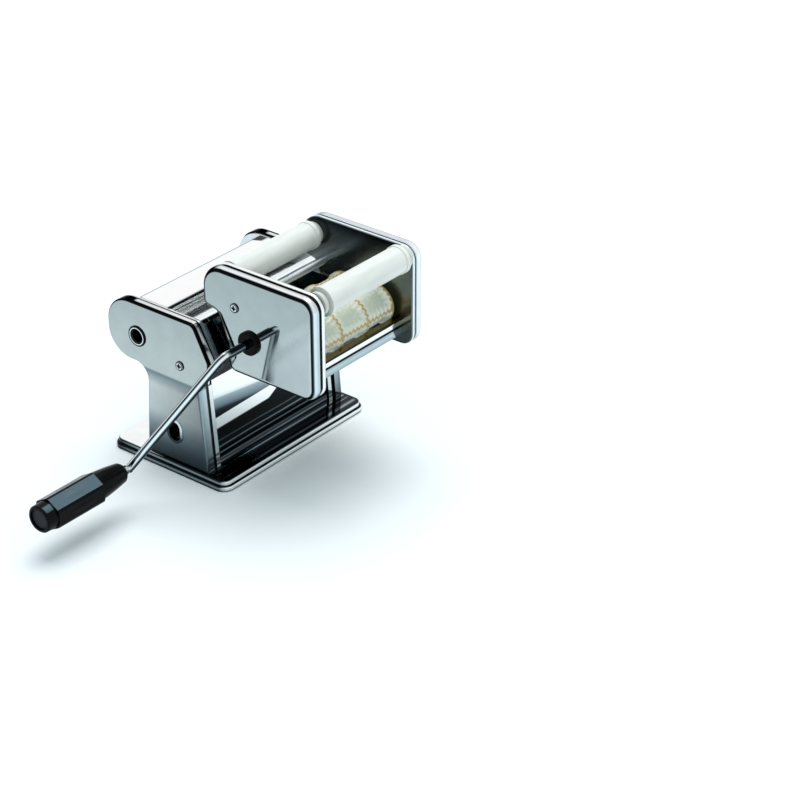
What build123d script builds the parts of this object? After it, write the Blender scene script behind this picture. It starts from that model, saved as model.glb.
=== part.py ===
from build123d import *
import math
import os

# Hand pasta machine carrying a ravioli attachment that its own crank turns.
# Frame, in millimetres: X along the rollers (crank side is -X), -Y to the attachment, +Z up,
# origin at the middle of the base's underside.

# ---- machine: overall ----
body_half_width = 93.0
machine_top = 154.0
base_length = 196.4
base_depth = 138.3
base_corner = 11.0
base_top = 9.5
base_step_height = 5.0
base_step_inset = 2.2
base_wall = 1.4
base_rim_radius = 1.8
foot_proud = 0.25
foot_radius = 9.0
foot_height = 7.6
foot_margin = 20.0

# ---- machine: side covers and frame plates ----
cover_depth = 9.5
cover_wall = 1.0
cover_edge_radius = 2.3
frame_thickness = 4.0
frame_inset = 1.5
skin_inset = 0.8
skin_thickness = 1.2
nose_back = 69.5
nose_bottom = 96.0
nose_radius = 26.0
leg_back_top = 22.7
leg_back_foot = 28.0
leg_back_radius = 15.0
leg_front_top = -37.6
leg_front_foot = -44.4
notch_height = 92.0
mount_edge = -50.5
mount_low = 113.0
mount_high = 121.0
top_front = -33.5
flange_width = 13.0
flange_thickness = 2.0
flange_back = 18.0
flange_front = -33.0

# ---- machine: panels ----
feed_back = 6.0
feed_front = -24.0
top_back = 40.5
rear_wall_inset = 10.0
rear_wall_under = 50.0
front_panel_inset = 2.3
skin_zone_past = 16.0
skin_zone_side = 90.0
front_zone_back = 30.0
front_panel_top = 97.0
hem_width = 4.5
feed_back_lip = 5.0
feed_front_lip = 14.0

# ---- machine: smooth rollers ----
roller_radius = 14.0
roller_end_gap = 0.8
fixed_roller_y = 33.4
roller_axis_z = 122.0
gap_open = 3.0
gap_travel = 2.4
journal_radius = 7.5
running_clearance = 0.05
roller_gear_teeth = 11
roller_gear_thickness = 5.0
roller_gear_tip = 16.4
tooth_clearance = 0.5
press_clearance = 0.02
socket_depth = 16.0
socket_mouth_radius = 6.0
socket_mouth_depth = 4.0
block_length = 20.0
block_height = 18.0
block_clearance = 0.1
scraper_thickness = 2.5
scraper_length = 11.0
scraper_gap = 0.3
scraper_edge = 0.4
scraper_bevel = 3.0
scraper_angle = 32.0

# ---- machine: fittings ----
screw_y = -16.7
screw_z = 109.1
screw_head_radius = 4.6
screw_head_height = 1.4
screw_shank_radius = 1.5
screw_hole_clearance = 0.1
tie_rod_radius = 5.0
rear_rod_y = 50.5
rear_rod_z = 134.0
low_rod_y = -29.0
low_rod_z = 22.0
bush_ring_radius = 10.0
bush_ring_height = 1.2
bush_wall = 1.6
clamp_y = -6.6
clamp_z = 40.0
clamp_width = 13.0
clamp_height = 19.0
clamp_bush_wall = 1.5
clamp_bush_flange = 1.2
knob_radius = 16.0
knob_height = 14.0
knob_shaft_radius = 4.0
knob_turn = 240.0
knob_gap = 0.4
dial_radius = 19.0
dial_thickness = 1.2
knob_flutes = 12
pointer_width = 2.4

# ---- attachment: plates ----
casing_face = 74.1
casing_depth = 9.1
casing_wall = 1.0
casing_edge_radius = 5.5
bearing_plate_thickness = 2.5
end_plate_thickness = 4.0
groove_inset = 1.6
plate_rounding = 1.3
casing_top = 206.0
casing_front = -154.5
casing_bottom = 109.5
casing_back = -28.5
casing_back_low = -54.8
casing_back_mid = -55.4
hook_low = 131.0
hook_y = -44.3
hook_z = 162.5
hook_top = 165.5
casing_screw_y = -66.4
casing_screw_z = 173.9
post_radius = 4.2
attachment_rod_radius = 3.5

# ---- attachment: mould rollers ----
crank_y = -82.3
mould_axis_z = 145.5
mould_radius = 18.65
mould_nip = 0.3
mould_half_length = 53.0
mould_columns = 3
mould_rows = 4
mould_column_pitch = 34.5
ridge_width = 2.2
pocket_depth = 2.6
mould_journal_radius = 6.5
mould_gear_teeth = 16
mould_gear_thickness = 5.0
mould_addendum = 2.1

# ---- attachment: guide rollers, strip, strippers ----
front_guide_y = -145.0
front_guide_z = 196.0
rear_guide_y = -43.5
rear_guide_z = 189.0
guide_radius = 12.5
guide_flange_radius = 13.3
guide_flange_width = 4.0
guide_half_length = 52.0
guide_stub_radius = 10.4
guide_groove_radius = 8.6
guide_groove_width = 2.6
guide_end_gap = 0.3
guide_pin_radius = 3.0
strip_front = -143.0
strip_bottom = 119.5
strip_top = 135.0
strip_thickness = 1.4
strip_seam = 128.5
strip_seam_height = 1.4
strip_ledge = 6.5
stripper_thickness = 1.6
stripper_low = 111.5
stripper_top_offset = 9.3
stripper_low_offset = 7.4
stripper_gap = 0.35

# ---- attachment: slide plate in the machine's rails ----
slide_thickness = 2.0
slide_offset = 1.3
slide_clearance = 0.15
slide_low = 4.0
slide_high = 34.0
slide_half_width = 77.4
ear_thickness = 1.6
ear_reach = -68.0
rail_lip = 2.6
rail_web = 1.9
rail_skin = 1.5

# ---- crank ----
rod_radius = 3.9
shaft_clearance = 0.07
tang_width = 5.2
tang_clearance = 0.1
tang_length = 8.0
elbow_x = -108.5
elbow_radius = 10.0
handle_x = -160.5
crank_throw = 124.5
crank_angle = 31.3
arm_end_past = 3.6
collar_radius = 11.0
collar_height = 3.6
collar_neck_radius = 7.9
casing_hole_clearance = 0.1
spindle_radius = 2.9
spindle_short = 1.0
ferrule_radius = 4.4
ferrule_length = 4.8
ferrule_stand = 6.3
grip_gap = 0.4
grip_length = 98.5
grip_inner_radius = 7.8
grip_shoulder_radius = 9.2
grip_middle_radius = 14.0
grip_outer_radius = 12.4
grip_panel_start = 34.0
grip_panel_end = 87.5
grip_panel_flat = 13.7
grip_panel_corner = 15.1
grip_sides = 6
cap_radius = 9.4
cap_recess = 1.6
cap_thickness = 2.2
cap_clearance = 0.05

# ---- worked-out places ----
inner_face = body_half_width - cover_depth
skin_edge = inner_face - frame_thickness
bearing_face = casing_face - casing_depth
end_plate_face = bearing_face - bearing_plate_thickness
inside_face = end_plate_face - end_plate_thickness
movable_roller_y = fixed_roller_y - 2 * roller_radius - gap_open
front_mould_y = crank_y - 2 * mould_radius - mould_nip
slant = math.hypot(top_front - mount_edge, machine_top - mount_high)
slant_up = ((top_front - mount_edge) / slant, (machine_top - mount_high) / slant)
slant_out = (-slant_up[1], slant_up[0])
zone_top = machine_top + skin_zone_past
swing = math.radians(crank_angle)
handle_y = crank_y + crank_throw * math.sin(swing)
handle_z = mould_axis_z - crank_throw * math.cos(swing)
screw_hole_radius = screw_shank_radius + screw_hole_clearance


def corner_outline(corners):
    """A closed face in the YZ plane from (y, z, radius) corners."""
    count = len(corners)
    arcs = []
    for index in range(count):
        here = Vector(*corners[index][:2])
        radius = corners[index][2]
        before = (Vector(*corners[index - 1][:2]) - here).normalized()
        after = (Vector(*corners[(index + 1) % count][:2]) - here).normalized()
        if radius == 0:
            arcs.append((here, here, here))
            continue
        half = math.radians(before.get_angle(after)) / 2
        reach = radius / math.tan(half)
        middle = (before + after).normalized() * (radius / math.sin(half) - radius)
        arcs.append((here + before * reach, here + middle, here + after * reach))
    edges = []
    for index in range(count):
        start, middle, end = arcs[index]
        if (start - end).length > 1e-6:
            edges.append(ThreePointArc(start, middle, end))
        edges.append(Line(end, arcs[(index + 1) % count][0]))
    flat = make_face(Wire(edges))
    return Plane.YZ * flat


def slab(face, low, high):
    """The YZ face pushed from X = low to X = high."""
    return Pos(low, 0, 0) * extrude(face, high - low, dir=(1, 0, 0))


def block(low, high):
    """A box from its lowest to its highest corner."""
    size = [high[i] - low[i] for i in range(3)]
    centre = [(high[i] + low[i]) / 2 for i in range(3)]
    return Pos(*centre) * Box(*size)


def rod(low, high, y, z, radius):
    """A cylinder along X."""
    middle = (low + high) / 2
    return Pos(middle, y, z) * Rot(0, 90, 0) * Cylinder(radius, high - low)


def polygon(points):
    """A closed YZ face through straight points."""
    return corner_outline([(y, z, 0) for y, z in points])


def mirrored(shape):
    """The same shape on the far side."""
    return mirror(shape, Plane.YZ)


def inward(face, amount):
    """The face's outline moved inwards."""
    return offset(face, amount=-amount)


def ring(face, inset, thickness):
    """A band that follows the face's outline inside it."""
    return inward(face, inset) - inward(face, inset + thickness)


def outer_edges(solid, x, above):
    """Edges of the flat face at X = x, apart from any that lie at or below a height."""
    found = []
    for edge in solid.edges():
        box = edge.bounding_box()
        on_face = abs(box.min.X - x) < 1e-4 and abs(box.max.X - x) < 1e-4
        if on_face and box.max.Z > above:
            found.append(edge)
    return found


machine_outline = corner_outline(
    [
        (top_front, machine_top, 8.0),
        (nose_back, machine_top, nose_radius),
        (nose_back, nose_bottom, nose_radius),
        (leg_back_top, nose_bottom, leg_back_radius),
        (leg_back_foot, base_top, 0),
        (leg_front_foot, base_top, 0),
        (leg_front_top, notch_height, 8.0),
        (mount_edge, mount_low, 5.0),
        (mount_edge, mount_high, 4.0),
    ]
)

attachment_outline = corner_outline(
    [
        (casing_back, casing_top, 22.0),
        (casing_back, hook_top, 7.0),
        (hook_y, hook_z, 5.0),
        (casing_back_mid, hook_low, 12.0),
        (casing_back_low, casing_bottom, 9.0),
        (casing_front, casing_bottom, 13.0),
        (casing_front, casing_top, 14.0),
    ]
)


def slant_point(along, out):
    """A point by its distance up the slanted front and its distance out of it."""
    y = mount_edge + along * slant_up[0] + out * slant_out[0]
    z = mount_high + along * slant_up[1] + out * slant_out[1]
    return (y, z)


def slant_slab(along_low, along_high, out_low, out_high, x_low, x_high):
    """A block laid along the slanted front."""
    corners = [
        slant_point(along_low, out_low),
        slant_point(along_high, out_low),
        slant_point(along_high, out_high),
        slant_point(along_low, out_high),
    ]
    return slab(polygon(corners), x_low, x_high)


# ---- machine ----
def base_plate():
    """Pressed tray with a two-step rolled rim, open underneath."""
    low = extrude(RectangleRounded(base_length, base_depth, base_corner), base_step_height - foot_proud)
    low = fillet(low.edges().group_by(Axis.Z)[-1], base_rim_radius)
    upper_length = base_length - 2 * base_step_inset
    upper_depth = base_depth - 2 * base_step_inset
    upper_corner = base_corner - base_step_inset
    high = extrude(RectangleRounded(upper_length, upper_depth, upper_corner), base_top - foot_proud)
    high = fillet(high.edges().group_by(Axis.Z)[-1], base_rim_radius)
    wall = base_step_inset + base_wall
    hollow = extrude(
        RectangleRounded(base_length - 2 * wall, base_depth - 2 * wall, upper_corner - base_wall),
        base_top - foot_proud - base_wall,
    )
    tray = Pos(0, 0, foot_proud) * (low + high - hollow)
    for x, y in base_screw_places():
        tray -= Pos(x, y, base_top) * Cylinder(screw_hole_radius, 4 * base_wall)
    return tray


def base_screw_places():
    """Where the frame plates' feet are screwed down."""
    x = skin_edge - flange_width / 2
    inset = 9.0
    return [(sx * x, y) for sx in (-1, 1) for y in (flange_front + inset, flange_back - inset)]


def base_screws():
    """Screws that hold the frame plates' feet to the base, driven from below."""
    low = base_top - base_wall
    head = Pos(0, 0, low - screw_head_height / 2) * Cylinder(screw_head_radius - 1, screw_head_height)
    shank_length = base_wall + flange_thickness - 0.2
    shank = Pos(0, 0, low + shank_length / 2) * Cylinder(screw_shank_radius, shank_length)
    return Compound([Pos(x, y, 0) * (head + shank) for x, y in base_screw_places()])


def rubber_feet():
    """Four round feet inside the tray's corners."""
    x = base_length / 2 - foot_margin
    y = base_depth / 2 - foot_margin
    height = base_top - base_wall
    foot = Pos(0, 0, height / 2) * Cylinder(foot_radius, height)
    foot = chamfer(foot.edges().group_by(Axis.Z)[0], 1.0)
    return Compound([Pos(sx * x, sy * y, 0) * foot for sx in (-1, 1) for sy in (-1, 1)])


def slot_face(width, height, y, z):
    """An upright oval in the YZ plane."""
    return Pos(0, y, z) * (Plane.YZ * (Rot(0, 0, 90) * SlotOverall(height, width)))


def side_cover(near):
    """Pressed chrome cover: flat face, rounded rim, open towards the frame plate."""
    shell = slab(machine_outline, -body_half_width, -inner_face)
    shell = fillet(outer_edges(shell, -body_half_width, base_top + 0.1), cover_edge_radius)
    cavity_face = inward(machine_outline, cover_wall)
    cavity = slab(cavity_face, -body_half_width + cover_wall, -inner_face)
    cavity = fillet(
        outer_edges(cavity, -body_half_width + cover_wall, base_top + cover_wall + 0.1),
        cover_edge_radius - cover_wall,
    )
    shell -= cavity
    through = (-body_half_width - 1, -inner_face)
    post = rod(-body_half_width + cover_wall / 2, -inner_face, screw_y, screw_z, post_radius)
    shell += post
    shell -= rod(*through, screw_y, screw_z, screw_hole_radius)
    if near:
        hole = journal_radius + running_clearance + bush_wall + press_clearance
        shell -= rod(*through, fixed_roller_y, roller_axis_z, hole)
        oval = slot_face(
            clamp_width + 2 * clamp_bush_wall + 2 * press_clearance,
            clamp_height + 2 * clamp_bush_wall + 2 * press_clearance,
            clamp_y,
            clamp_z,
        )
        shell -= slab(oval, *through)
        return shell
    knob_hole = knob_shaft_radius + running_clearance
    shell -= rod(*through, movable_roller_y + gap_travel / 2, roller_axis_z, knob_hole)
    return mirrored(shell)


def frame_plate(near):
    """Steel side plate that carries the rollers, panels and rods, with a foot bent inwards."""
    plate = slab(inward(machine_outline, frame_inset), -inner_face, -skin_edge)
    step = block(
        (-inner_face, leg_front_foot + frame_inset + 0.2, base_top),
        (-skin_edge, leg_back_foot - frame_inset - 0.2, base_top + frame_inset + 0.5),
    )
    plate += step
    foot = block(
        (-skin_edge, flange_front, base_top),
        (-skin_edge + flange_width, flange_back, base_top + flange_thickness),
    )
    plate += foot
    through = (-inner_face - 1, -skin_edge + 1)
    plate -= rod(*through, fixed_roller_y, roller_axis_z, journal_radius + running_clearance)
    middle = movable_roller_y + gap_travel / 2
    half = (block_length + gap_travel) / 2 + block_clearance
    tall = block_height / 2 + block_clearance
    plate -= block(
        (through[0], middle - half, roller_axis_z - tall),
        (through[1], middle + half, roller_axis_z + tall),
    )
    plate -= rod(*through, screw_y, screw_z, screw_hole_radius)
    for x, y in base_screw_places():
        if x < 0:
            plate -= Pos(x, y, base_top) * Cylinder(screw_hole_radius, 6 * flange_thickness)
    if near:
        oval = slot_face(
            clamp_width + 2 * clamp_bush_wall + 2 * press_clearance,
            clamp_height + 2 * clamp_bush_wall + 2 * press_clearance,
            clamp_y,
            clamp_z,
        )
        return plate - slab(oval, *through)
    return mirrored(plate)


def clamp_hole_bush():
    """Oval chrome bush where the table clamp's arm goes in."""
    outer = slot_face(clamp_width + 2 * clamp_bush_wall, clamp_height + 2 * clamp_bush_wall, clamp_y, clamp_z)
    flange = slot_face(
        clamp_width + 2 * clamp_bush_wall + 2 * clamp_bush_flange,
        clamp_height + 2 * clamp_bush_wall + 2 * clamp_bush_flange,
        clamp_y,
        clamp_z,
    )
    hole = slot_face(clamp_width, clamp_height, clamp_y, clamp_z)
    tube = slab(outer, -body_half_width, -skin_edge)
    lip = slab(flange, -body_half_width - 0.6, -body_half_width)
    return tube + lip - slab(hole, -body_half_width - 2, -skin_edge + 1)


def socket_bush():
    """Ring round the machine's own crank socket."""
    inner = journal_radius + running_clearance
    face = -body_half_width
    neck = rod(face, face + cover_wall + 2.0, fixed_roller_y, roller_axis_z, inner + bush_wall)
    lip = rod(face - bush_ring_height, face, fixed_roller_y, roller_axis_z, bush_ring_radius)
    lip = fillet(outer_edges(lip, face - bush_ring_height, 0), bush_ring_height * 0.6)
    return neck + lip - rod(face - 3, face + 6, fixed_roller_y, roller_axis_z, inner)


def skin_part(keep):
    """The body skin between the frame plates, cut to the kept YZ face."""
    band = ring(machine_outline, skin_inset, skin_thickness)
    return slab(band & keep, -skin_edge, skin_edge)


def top_cover():
    """Sheet from the feed opening back over the top, down a step and round the roller inside the nose."""
    above = machine_top - rear_wall_inset - skin_thickness
    top_zone = polygon([(feed_back, above), (top_back, above), (top_back, zone_top), (feed_back, zone_top)])
    low_middle = nose_bottom + nose_radius
    nose_zone = polygon(
        [
            (top_back - skin_thickness, low_middle),
            (rear_wall_under, low_middle),
            (rear_wall_under, nose_bottom),
            (skin_zone_side, nose_bottom),
            (skin_zone_side, zone_top),
            (top_back - skin_thickness, zone_top),
        ]
    )
    nose_band = ring(machine_outline, rear_wall_inset, skin_thickness) & nose_zone
    cover = skin_part(top_zone) + slab(nose_band, -skin_edge, skin_edge)
    top = machine_top - skin_inset
    step = block((-skin_edge, top_back - skin_thickness, above), (skin_edge, top_back, top - 0.4))
    lip = block(
        (-skin_edge, feed_back, top - feed_back_lip),
        (skin_edge, feed_back + skin_thickness, top),
    )
    return cover + step + lip


def mount_panel():
    """Front lip of the feed opening, the slanted front and the return below it."""
    keep = polygon(
        [
            (feed_front, nose_bottom),
            (feed_front, zone_top),
            (-skin_zone_side, zone_top),
            (-skin_zone_side, nose_bottom),
        ]
    )
    panel = skin_part(keep)
    top = machine_top - skin_inset
    lip = block(
        (-skin_edge, feed_front - skin_thickness, top - feed_front_lip),
        (skin_edge, feed_front, top),
    )
    return panel + lip


def front_panel():
    """Polished sheet between the legs, with a narrow raised hem at each side."""
    low_y = leg_front_foot
    rise = (leg_front_top - leg_front_foot) / (notch_height - base_top)
    high_y = leg_front_foot + rise * (front_panel_top - base_top)

    def strip(inset, depth):
        return polygon(
            [
                (low_y + inset, base_top),
                (high_y + inset, front_panel_top),
                (high_y + inset + depth, front_panel_top),
                (low_y + inset + depth, base_top),
            ]
        )

    below = polygon(
        [
            (-skin_zone_side, base_top),
            (-skin_zone_side, notch_height - 2),
            (front_zone_back, notch_height - 2),
            (front_zone_back, base_top),
        ]
    )
    sheet = slab(strip(front_panel_inset, skin_thickness), -skin_edge + hem_width, skin_edge - hem_width)
    hem_face = strip(skin_inset, front_panel_inset - skin_inset + skin_thickness) & below
    hem = slab(hem_face, -skin_edge, -skin_edge + hem_width)
    return sheet + hem + mirrored(hem)


def smooth_roller(y, socket):
    """Steel roller with a journal at each end; the driven one has the crank's socket."""
    half = skin_edge - roller_end_gap
    body = rod(-half, half, y, roller_axis_z, roller_radius)
    near_end = -body_half_width if socket else -(inner_face + roller_gear_thickness + 1.5)
    body += rod(near_end, inner_face - 0.3, y, roller_axis_z, journal_radius)
    if socket:
        mouth = rod(near_end - 1, near_end + socket_mouth_depth, y, roller_axis_z, socket_mouth_radius)
        start = near_end + socket_mouth_depth
        hole = rod(start - 1, start + socket_depth, y, roller_axis_z, rod_radius + shaft_clearance)
        body = body - mouth - hole
    return body


def gear_face(y, z, teeth, tip, centre_distance, first_angle):
    """A toothed YZ face with slim straight-sided teeth."""
    root = centre_distance - tip - tooth_clearance
    pitch_angle = 2 * math.pi / teeth
    points = []
    for tooth in range(teeth):
        middle = first_angle + tooth * pitch_angle
        for share, radius in ((-0.29, root), (-0.11, tip), (0.11, tip), (0.29, root)):
            angle = middle + share * pitch_angle
            points.append((y + radius * math.cos(angle), z + radius * math.sin(angle)))
    return polygon(points)


def roller_gear(y, first_angle):
    """Gear on a smooth roller's near journal."""
    closest = 2 * roller_radius + gap_open - gap_travel
    face = gear_face(y, roller_axis_z, roller_gear_teeth, roller_gear_tip, closest, first_angle)
    low = -inner_face - roller_gear_thickness - 0.6
    gear = slab(face, low, low + roller_gear_thickness)
    return gear - rod(low - 1, 0, y, roller_axis_z, journal_radius + press_clearance)


def movable_bearing_blocks():
    """Sliding blocks in the frame plates' slots that carry the movable roller."""
    tall = block_height / 2
    near = block(
        (-inner_face, movable_roller_y - block_length / 2, roller_axis_z - tall),
        (-skin_edge, movable_roller_y + block_length / 2, roller_axis_z + tall),
    )
    hole = journal_radius + running_clearance
    near -= rod(-inner_face - 1, -skin_edge + 1, movable_roller_y, roller_axis_z, hole)
    return Compound([near, mirrored(near)])


def scraper(y, side):
    """Plastic blade under a smooth roller, from frame plate to frame plate."""
    angle = math.radians(-90 + side * scraper_angle)
    out = (math.cos(angle), math.sin(angle))
    across = (-out[1], out[0])
    near = roller_radius + scraper_gap
    far = near + scraper_length
    corners = (
        (near, 0.0),
        (near, scraper_edge),
        (near + scraper_bevel, scraper_thickness),
        (far, scraper_thickness),
        (far, 0.0),
    )
    points = []
    for reach, width in corners:
        points.append(
            (
                y + reach * out[0] + side * width * across[0],
                roller_axis_z + reach * out[1] + side * width * across[1],
            )
        )
    return slab(polygon(points), -skin_edge, skin_edge)


def tie_rods():
    """Round bars that hold the two frame plates apart."""
    bars = []
    for y, z in ((screw_y, screw_z), (rear_rod_y, rear_rod_z), (low_rod_y, low_rod_z)):
        bar = rod(-skin_edge, skin_edge, y, z, tie_rod_radius)
        hole = rod(skin_edge - 10, skin_edge + 1, y, z, screw_hole_radius)
        bars.append(bar - hole - mirrored(hole))
    return Compound(bars)


def cross_screw(y, z, face, length):
    """Pan-head screw with a cross recess, head outside X = face, on the near side."""
    head = rod(face - screw_head_height, face, y, z, screw_head_radius)
    head = fillet(outer_edges(head, face - screw_head_height, 0), screw_head_height * 0.7)
    arm = screw_head_radius * 0.55
    for tall, wide in ((arm, 0.7), (0.7, arm)):
        head -= block((face - 3, y - wide, z - tall), (face - screw_head_height * 0.45, y + wide, z + tall))
    return head + rod(face, face + length, y, z, screw_shank_radius)


def cover_screws():
    """One screw through each side cover into the tie rod behind it."""
    length = cover_depth + frame_thickness + 8.0
    near = cross_screw(screw_y, screw_z, -body_half_width, length)
    return Compound([near, mirrored(near)])


def regulator_knob():
    """Fluted knob that sets the roller gap, with a pointer rib."""
    y = movable_roller_y + gap_travel / 2
    low = body_half_width + dial_thickness + knob_gap
    high = low + knob_height
    knob = rod(low, high, y, roller_axis_z, knob_radius)
    knob = fillet(outer_edges(knob, high, 0), 2.0)
    for index in range(knob_flutes):
        angle = 2 * math.pi * (index + 0.5) / knob_flutes
        at = knob_radius + 1.6
        knob -= rod(low + 3, high + 1, y + at * math.cos(angle), roller_axis_z + at * math.sin(angle), 3.2)
    knob += block(
        (high - 1.0, y - pointer_width / 2, roller_axis_z + 2),
        (high + 0.8, y + pointer_width / 2, roller_axis_z + knob_radius - 3),
    )
    return knob + rod(inner_face + 0.5, low + 1, y, roller_axis_z, knob_shaft_radius)


def regulator_dial():
    """Flat ring on the far cover behind the knob."""
    y = movable_roller_y + gap_travel / 2
    disc = rod(body_half_width, body_half_width + dial_thickness, y, roller_axis_z, dial_radius)
    hole = knob_shaft_radius + running_clearance
    return disc - rod(body_half_width - 1, body_half_width + 5, y, roller_axis_z, hole)


def attachment_rail(near):
    """Channel on the slanted front that takes one edge of the slide plate."""
    base = -skin_inset
    groove_low = slide_offset - slide_clearance
    groove_high = slide_offset + slide_thickness + slide_clearance
    outer = slide_half_width + slide_clearance + rail_web
    inner = slide_half_width - rail_lip
    bar = slant_slab(slide_low - 3, slide_high, base, groove_high + rail_skin, -outer, -inner)
    groove = slant_slab(
        slide_low, slide_high + 1, groove_low, groove_high, -slide_half_width - slide_clearance, -inner + 1
    )
    rail = bar - groove
    return rail if near else mirrored(rail)


# ---- attachment ----
def attachment_casing(near):
    """Pressed chrome casing over the gears, with a deep rounded rim."""
    shell = slab(attachment_outline, -casing_face, -bearing_face)
    shell = fillet(outer_edges(shell, -casing_face, 0), casing_edge_radius)
    cavity = slab(inward(attachment_outline, casing_wall), -casing_face + casing_wall, -bearing_face)
    cavity = fillet(outer_edges(cavity, -casing_face + casing_wall, 0), casing_edge_radius - casing_wall)
    shell -= cavity
    shell += rod(-casing_face + casing_wall / 2, -bearing_face, casing_screw_y, casing_screw_z, post_radius)
    shell -= rod(-casing_face - 1, -bearing_face, casing_screw_y, casing_screw_z, screw_hole_radius)
    if near:
        hole = collar_neck_radius + casing_hole_clearance
        return shell - rod(-casing_face - 1, -bearing_face, crank_y, mould_axis_z, hole)
    return mirrored(shell)


def journal_holes(low, high):
    """Bores for the mould rollers' journals."""
    radius = mould_journal_radius + running_clearance
    return [rod(low, high, y, mould_axis_z, radius) for y in (crank_y, front_mould_y)]


def bearing_plate(near):
    """Dark nylon plate behind the casing that the roller journals turn in."""
    plate = slab(inward(attachment_outline, groove_inset - 0.9), -bearing_face, -end_plate_face)
    ring_cut = slab(ring(attachment_outline, -1, 1 + groove_inset), -bearing_face + 0.5, -end_plate_face)
    plate -= ring_cut
    for hole in journal_holes(-bearing_face - 1, -end_plate_face + 1):
        plate -= hole
    plate -= rod(-bearing_face - 1, -end_plate_face + 1, casing_screw_y, casing_screw_z, screw_hole_radius)
    return plate if near else mirrored(plate)


def guide_axes():
    """Axes of the two dough guide rollers."""
    return ((front_guide_y, front_guide_z), (rear_guide_y, rear_guide_z))


def end_plate(near):
    """Polished side wall of the hopper."""
    plate = slab(attachment_outline, -end_plate_face, -inside_face)
    rims = outer_edges(plate, -end_plate_face, 0) + outer_edges(plate, -inside_face, 0)
    plate = fillet(rims, plate_rounding)
    for hole in journal_holes(-end_plate_face - 1, -inside_face + 1):
        plate -= hole
    for y, z in guide_axes():
        plate -= rod(-end_plate_face - 1, -inside_face + 1, y, z, guide_pin_radius + press_clearance)
    plate -= rod(-end_plate_face - 1, -inside_face + 1, casing_screw_y, casing_screw_z, screw_hole_radius)
    return plate if near else mirrored(plate)


def casing_screws():
    """One screw through each casing into the rod behind it."""
    length = casing_depth + bearing_plate_thickness + end_plate_thickness + 6.0
    near = cross_screw(casing_screw_y, casing_screw_z, -casing_face, length)
    return Compound([near, mirrored(near)])


def attachment_rod():
    """Round bar between the end plates."""
    bar = rod(-inside_face, inside_face, casing_screw_y, casing_screw_z, attachment_rod_radius)
    hole = rod(inside_face - 9, inside_face + 1, casing_screw_y, casing_screw_z, screw_hole_radius)
    return bar - hole - mirrored(hole)


def mould_roller(y, first_angle, socket):
    """Ravioli mould roller: ridges round and along it, pockets between them."""
    core = rod(-mould_half_length, mould_half_length, y, mould_axis_z, mould_radius - pocket_depth)
    for index in range(mould_columns + 1):
        x = (index - mould_columns / 2) * mould_column_pitch
        core += rod(x - ridge_width / 2, x + ridge_width / 2, y, mould_axis_z, mould_radius)
    for index in range(mould_rows):
        turn = math.degrees(first_angle) + index * 360 / mould_rows
        low = mould_radius - pocket_depth - 1
        length = mould_columns * mould_column_pitch
        bar = Box(length, ridge_width, pocket_depth + 1 - 0.05)
        bar = Pos(0, 0, low + (pocket_depth + 1 - 0.05) / 2) * bar
        core += Pos(0, y, mould_axis_z) * Rot(turn, 0, 0) * bar
    near_end = -(casing_face - casing_wall - 1.0)
    core += rod(near_end, bearing_face - 0.3, y, mould_axis_z, mould_journal_radius)
    if not socket:
        return core
    round_end = -bearing_face + 1.0
    core -= rod(near_end - 1, round_end, y, mould_axis_z, rod_radius + shaft_clearance)
    half = tang_width / 2 + tang_clearance
    deep = round_end + tang_length + 0.5
    return core - block((round_end - 1, y - half, mould_axis_z - half), (deep, y + half, mould_axis_z + half))


def mould_gear(y, first_angle):
    """Gear on a mould roller's near journal, inside the casing."""
    distance = crank_y - front_mould_y
    face = gear_face(y, mould_axis_z, mould_gear_teeth, distance / 2 + mould_addendum, distance, first_angle)
    high = -bearing_face - 0.6
    gear = slab(face, high - mould_gear_thickness, high)
    return gear - rod(high - 4 * mould_gear_thickness, high + 1, y, mould_axis_z, mould_journal_radius + press_clearance)


def guide_roller(y, z):
    """White plastic roller the dough sheet runs over: drum, end flanges, grooves and stubs."""
    end = inside_face - guide_end_gap
    body = rod(-guide_half_length, guide_half_length, y, z, guide_radius)
    for side in (-1, 1):
        flange = sorted((side * guide_half_length, side * (guide_half_length - guide_flange_width)))
        body += rod(*flange, y, z, guide_flange_radius)
        groove = sorted((side * (guide_half_length - 0.2), side * (guide_half_length + guide_groove_width)))
        body += rod(*groove, y, z, guide_groove_radius)
        stub = sorted((side * (guide_half_length + guide_groove_width), side * end))
        body += rod(*stub, y, z, guide_stub_radius)
    return body - rod(-end - 1, end + 1, y, z, guide_pin_radius + running_clearance)


def guide_pins():
    """Fixed steel pins the guide rollers turn on."""
    half = end_plate_face - 0.2
    return Compound([rod(-half, half, y, z, guide_pin_radius) for y, z in guide_axes()])


def front_strip():
    """Folded tie strip under the front mould roller, with a seam along its face."""
    front = strip_front
    back = strip_front + strip_thickness
    face = corner_outline(
        [
            (front, strip_bottom, 0.4),
            (front, strip_top, 2.4),
            (front + strip_ledge, strip_top + 1.2, 0.3),
            (front + strip_ledge, strip_top - 0.2, 0.3),
            (back, strip_top - strip_thickness, 1.0),
            (back, strip_bottom, 0.4),
        ]
    )
    seam = polygon(
        [
            (front - 1, strip_seam - strip_seam_height / 2),
            (front - 1, strip_seam + strip_seam_height / 2),
            (front + 0.7, strip_seam),
        ]
    )
    return slab(face - seam, -inside_face, inside_face)


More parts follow.
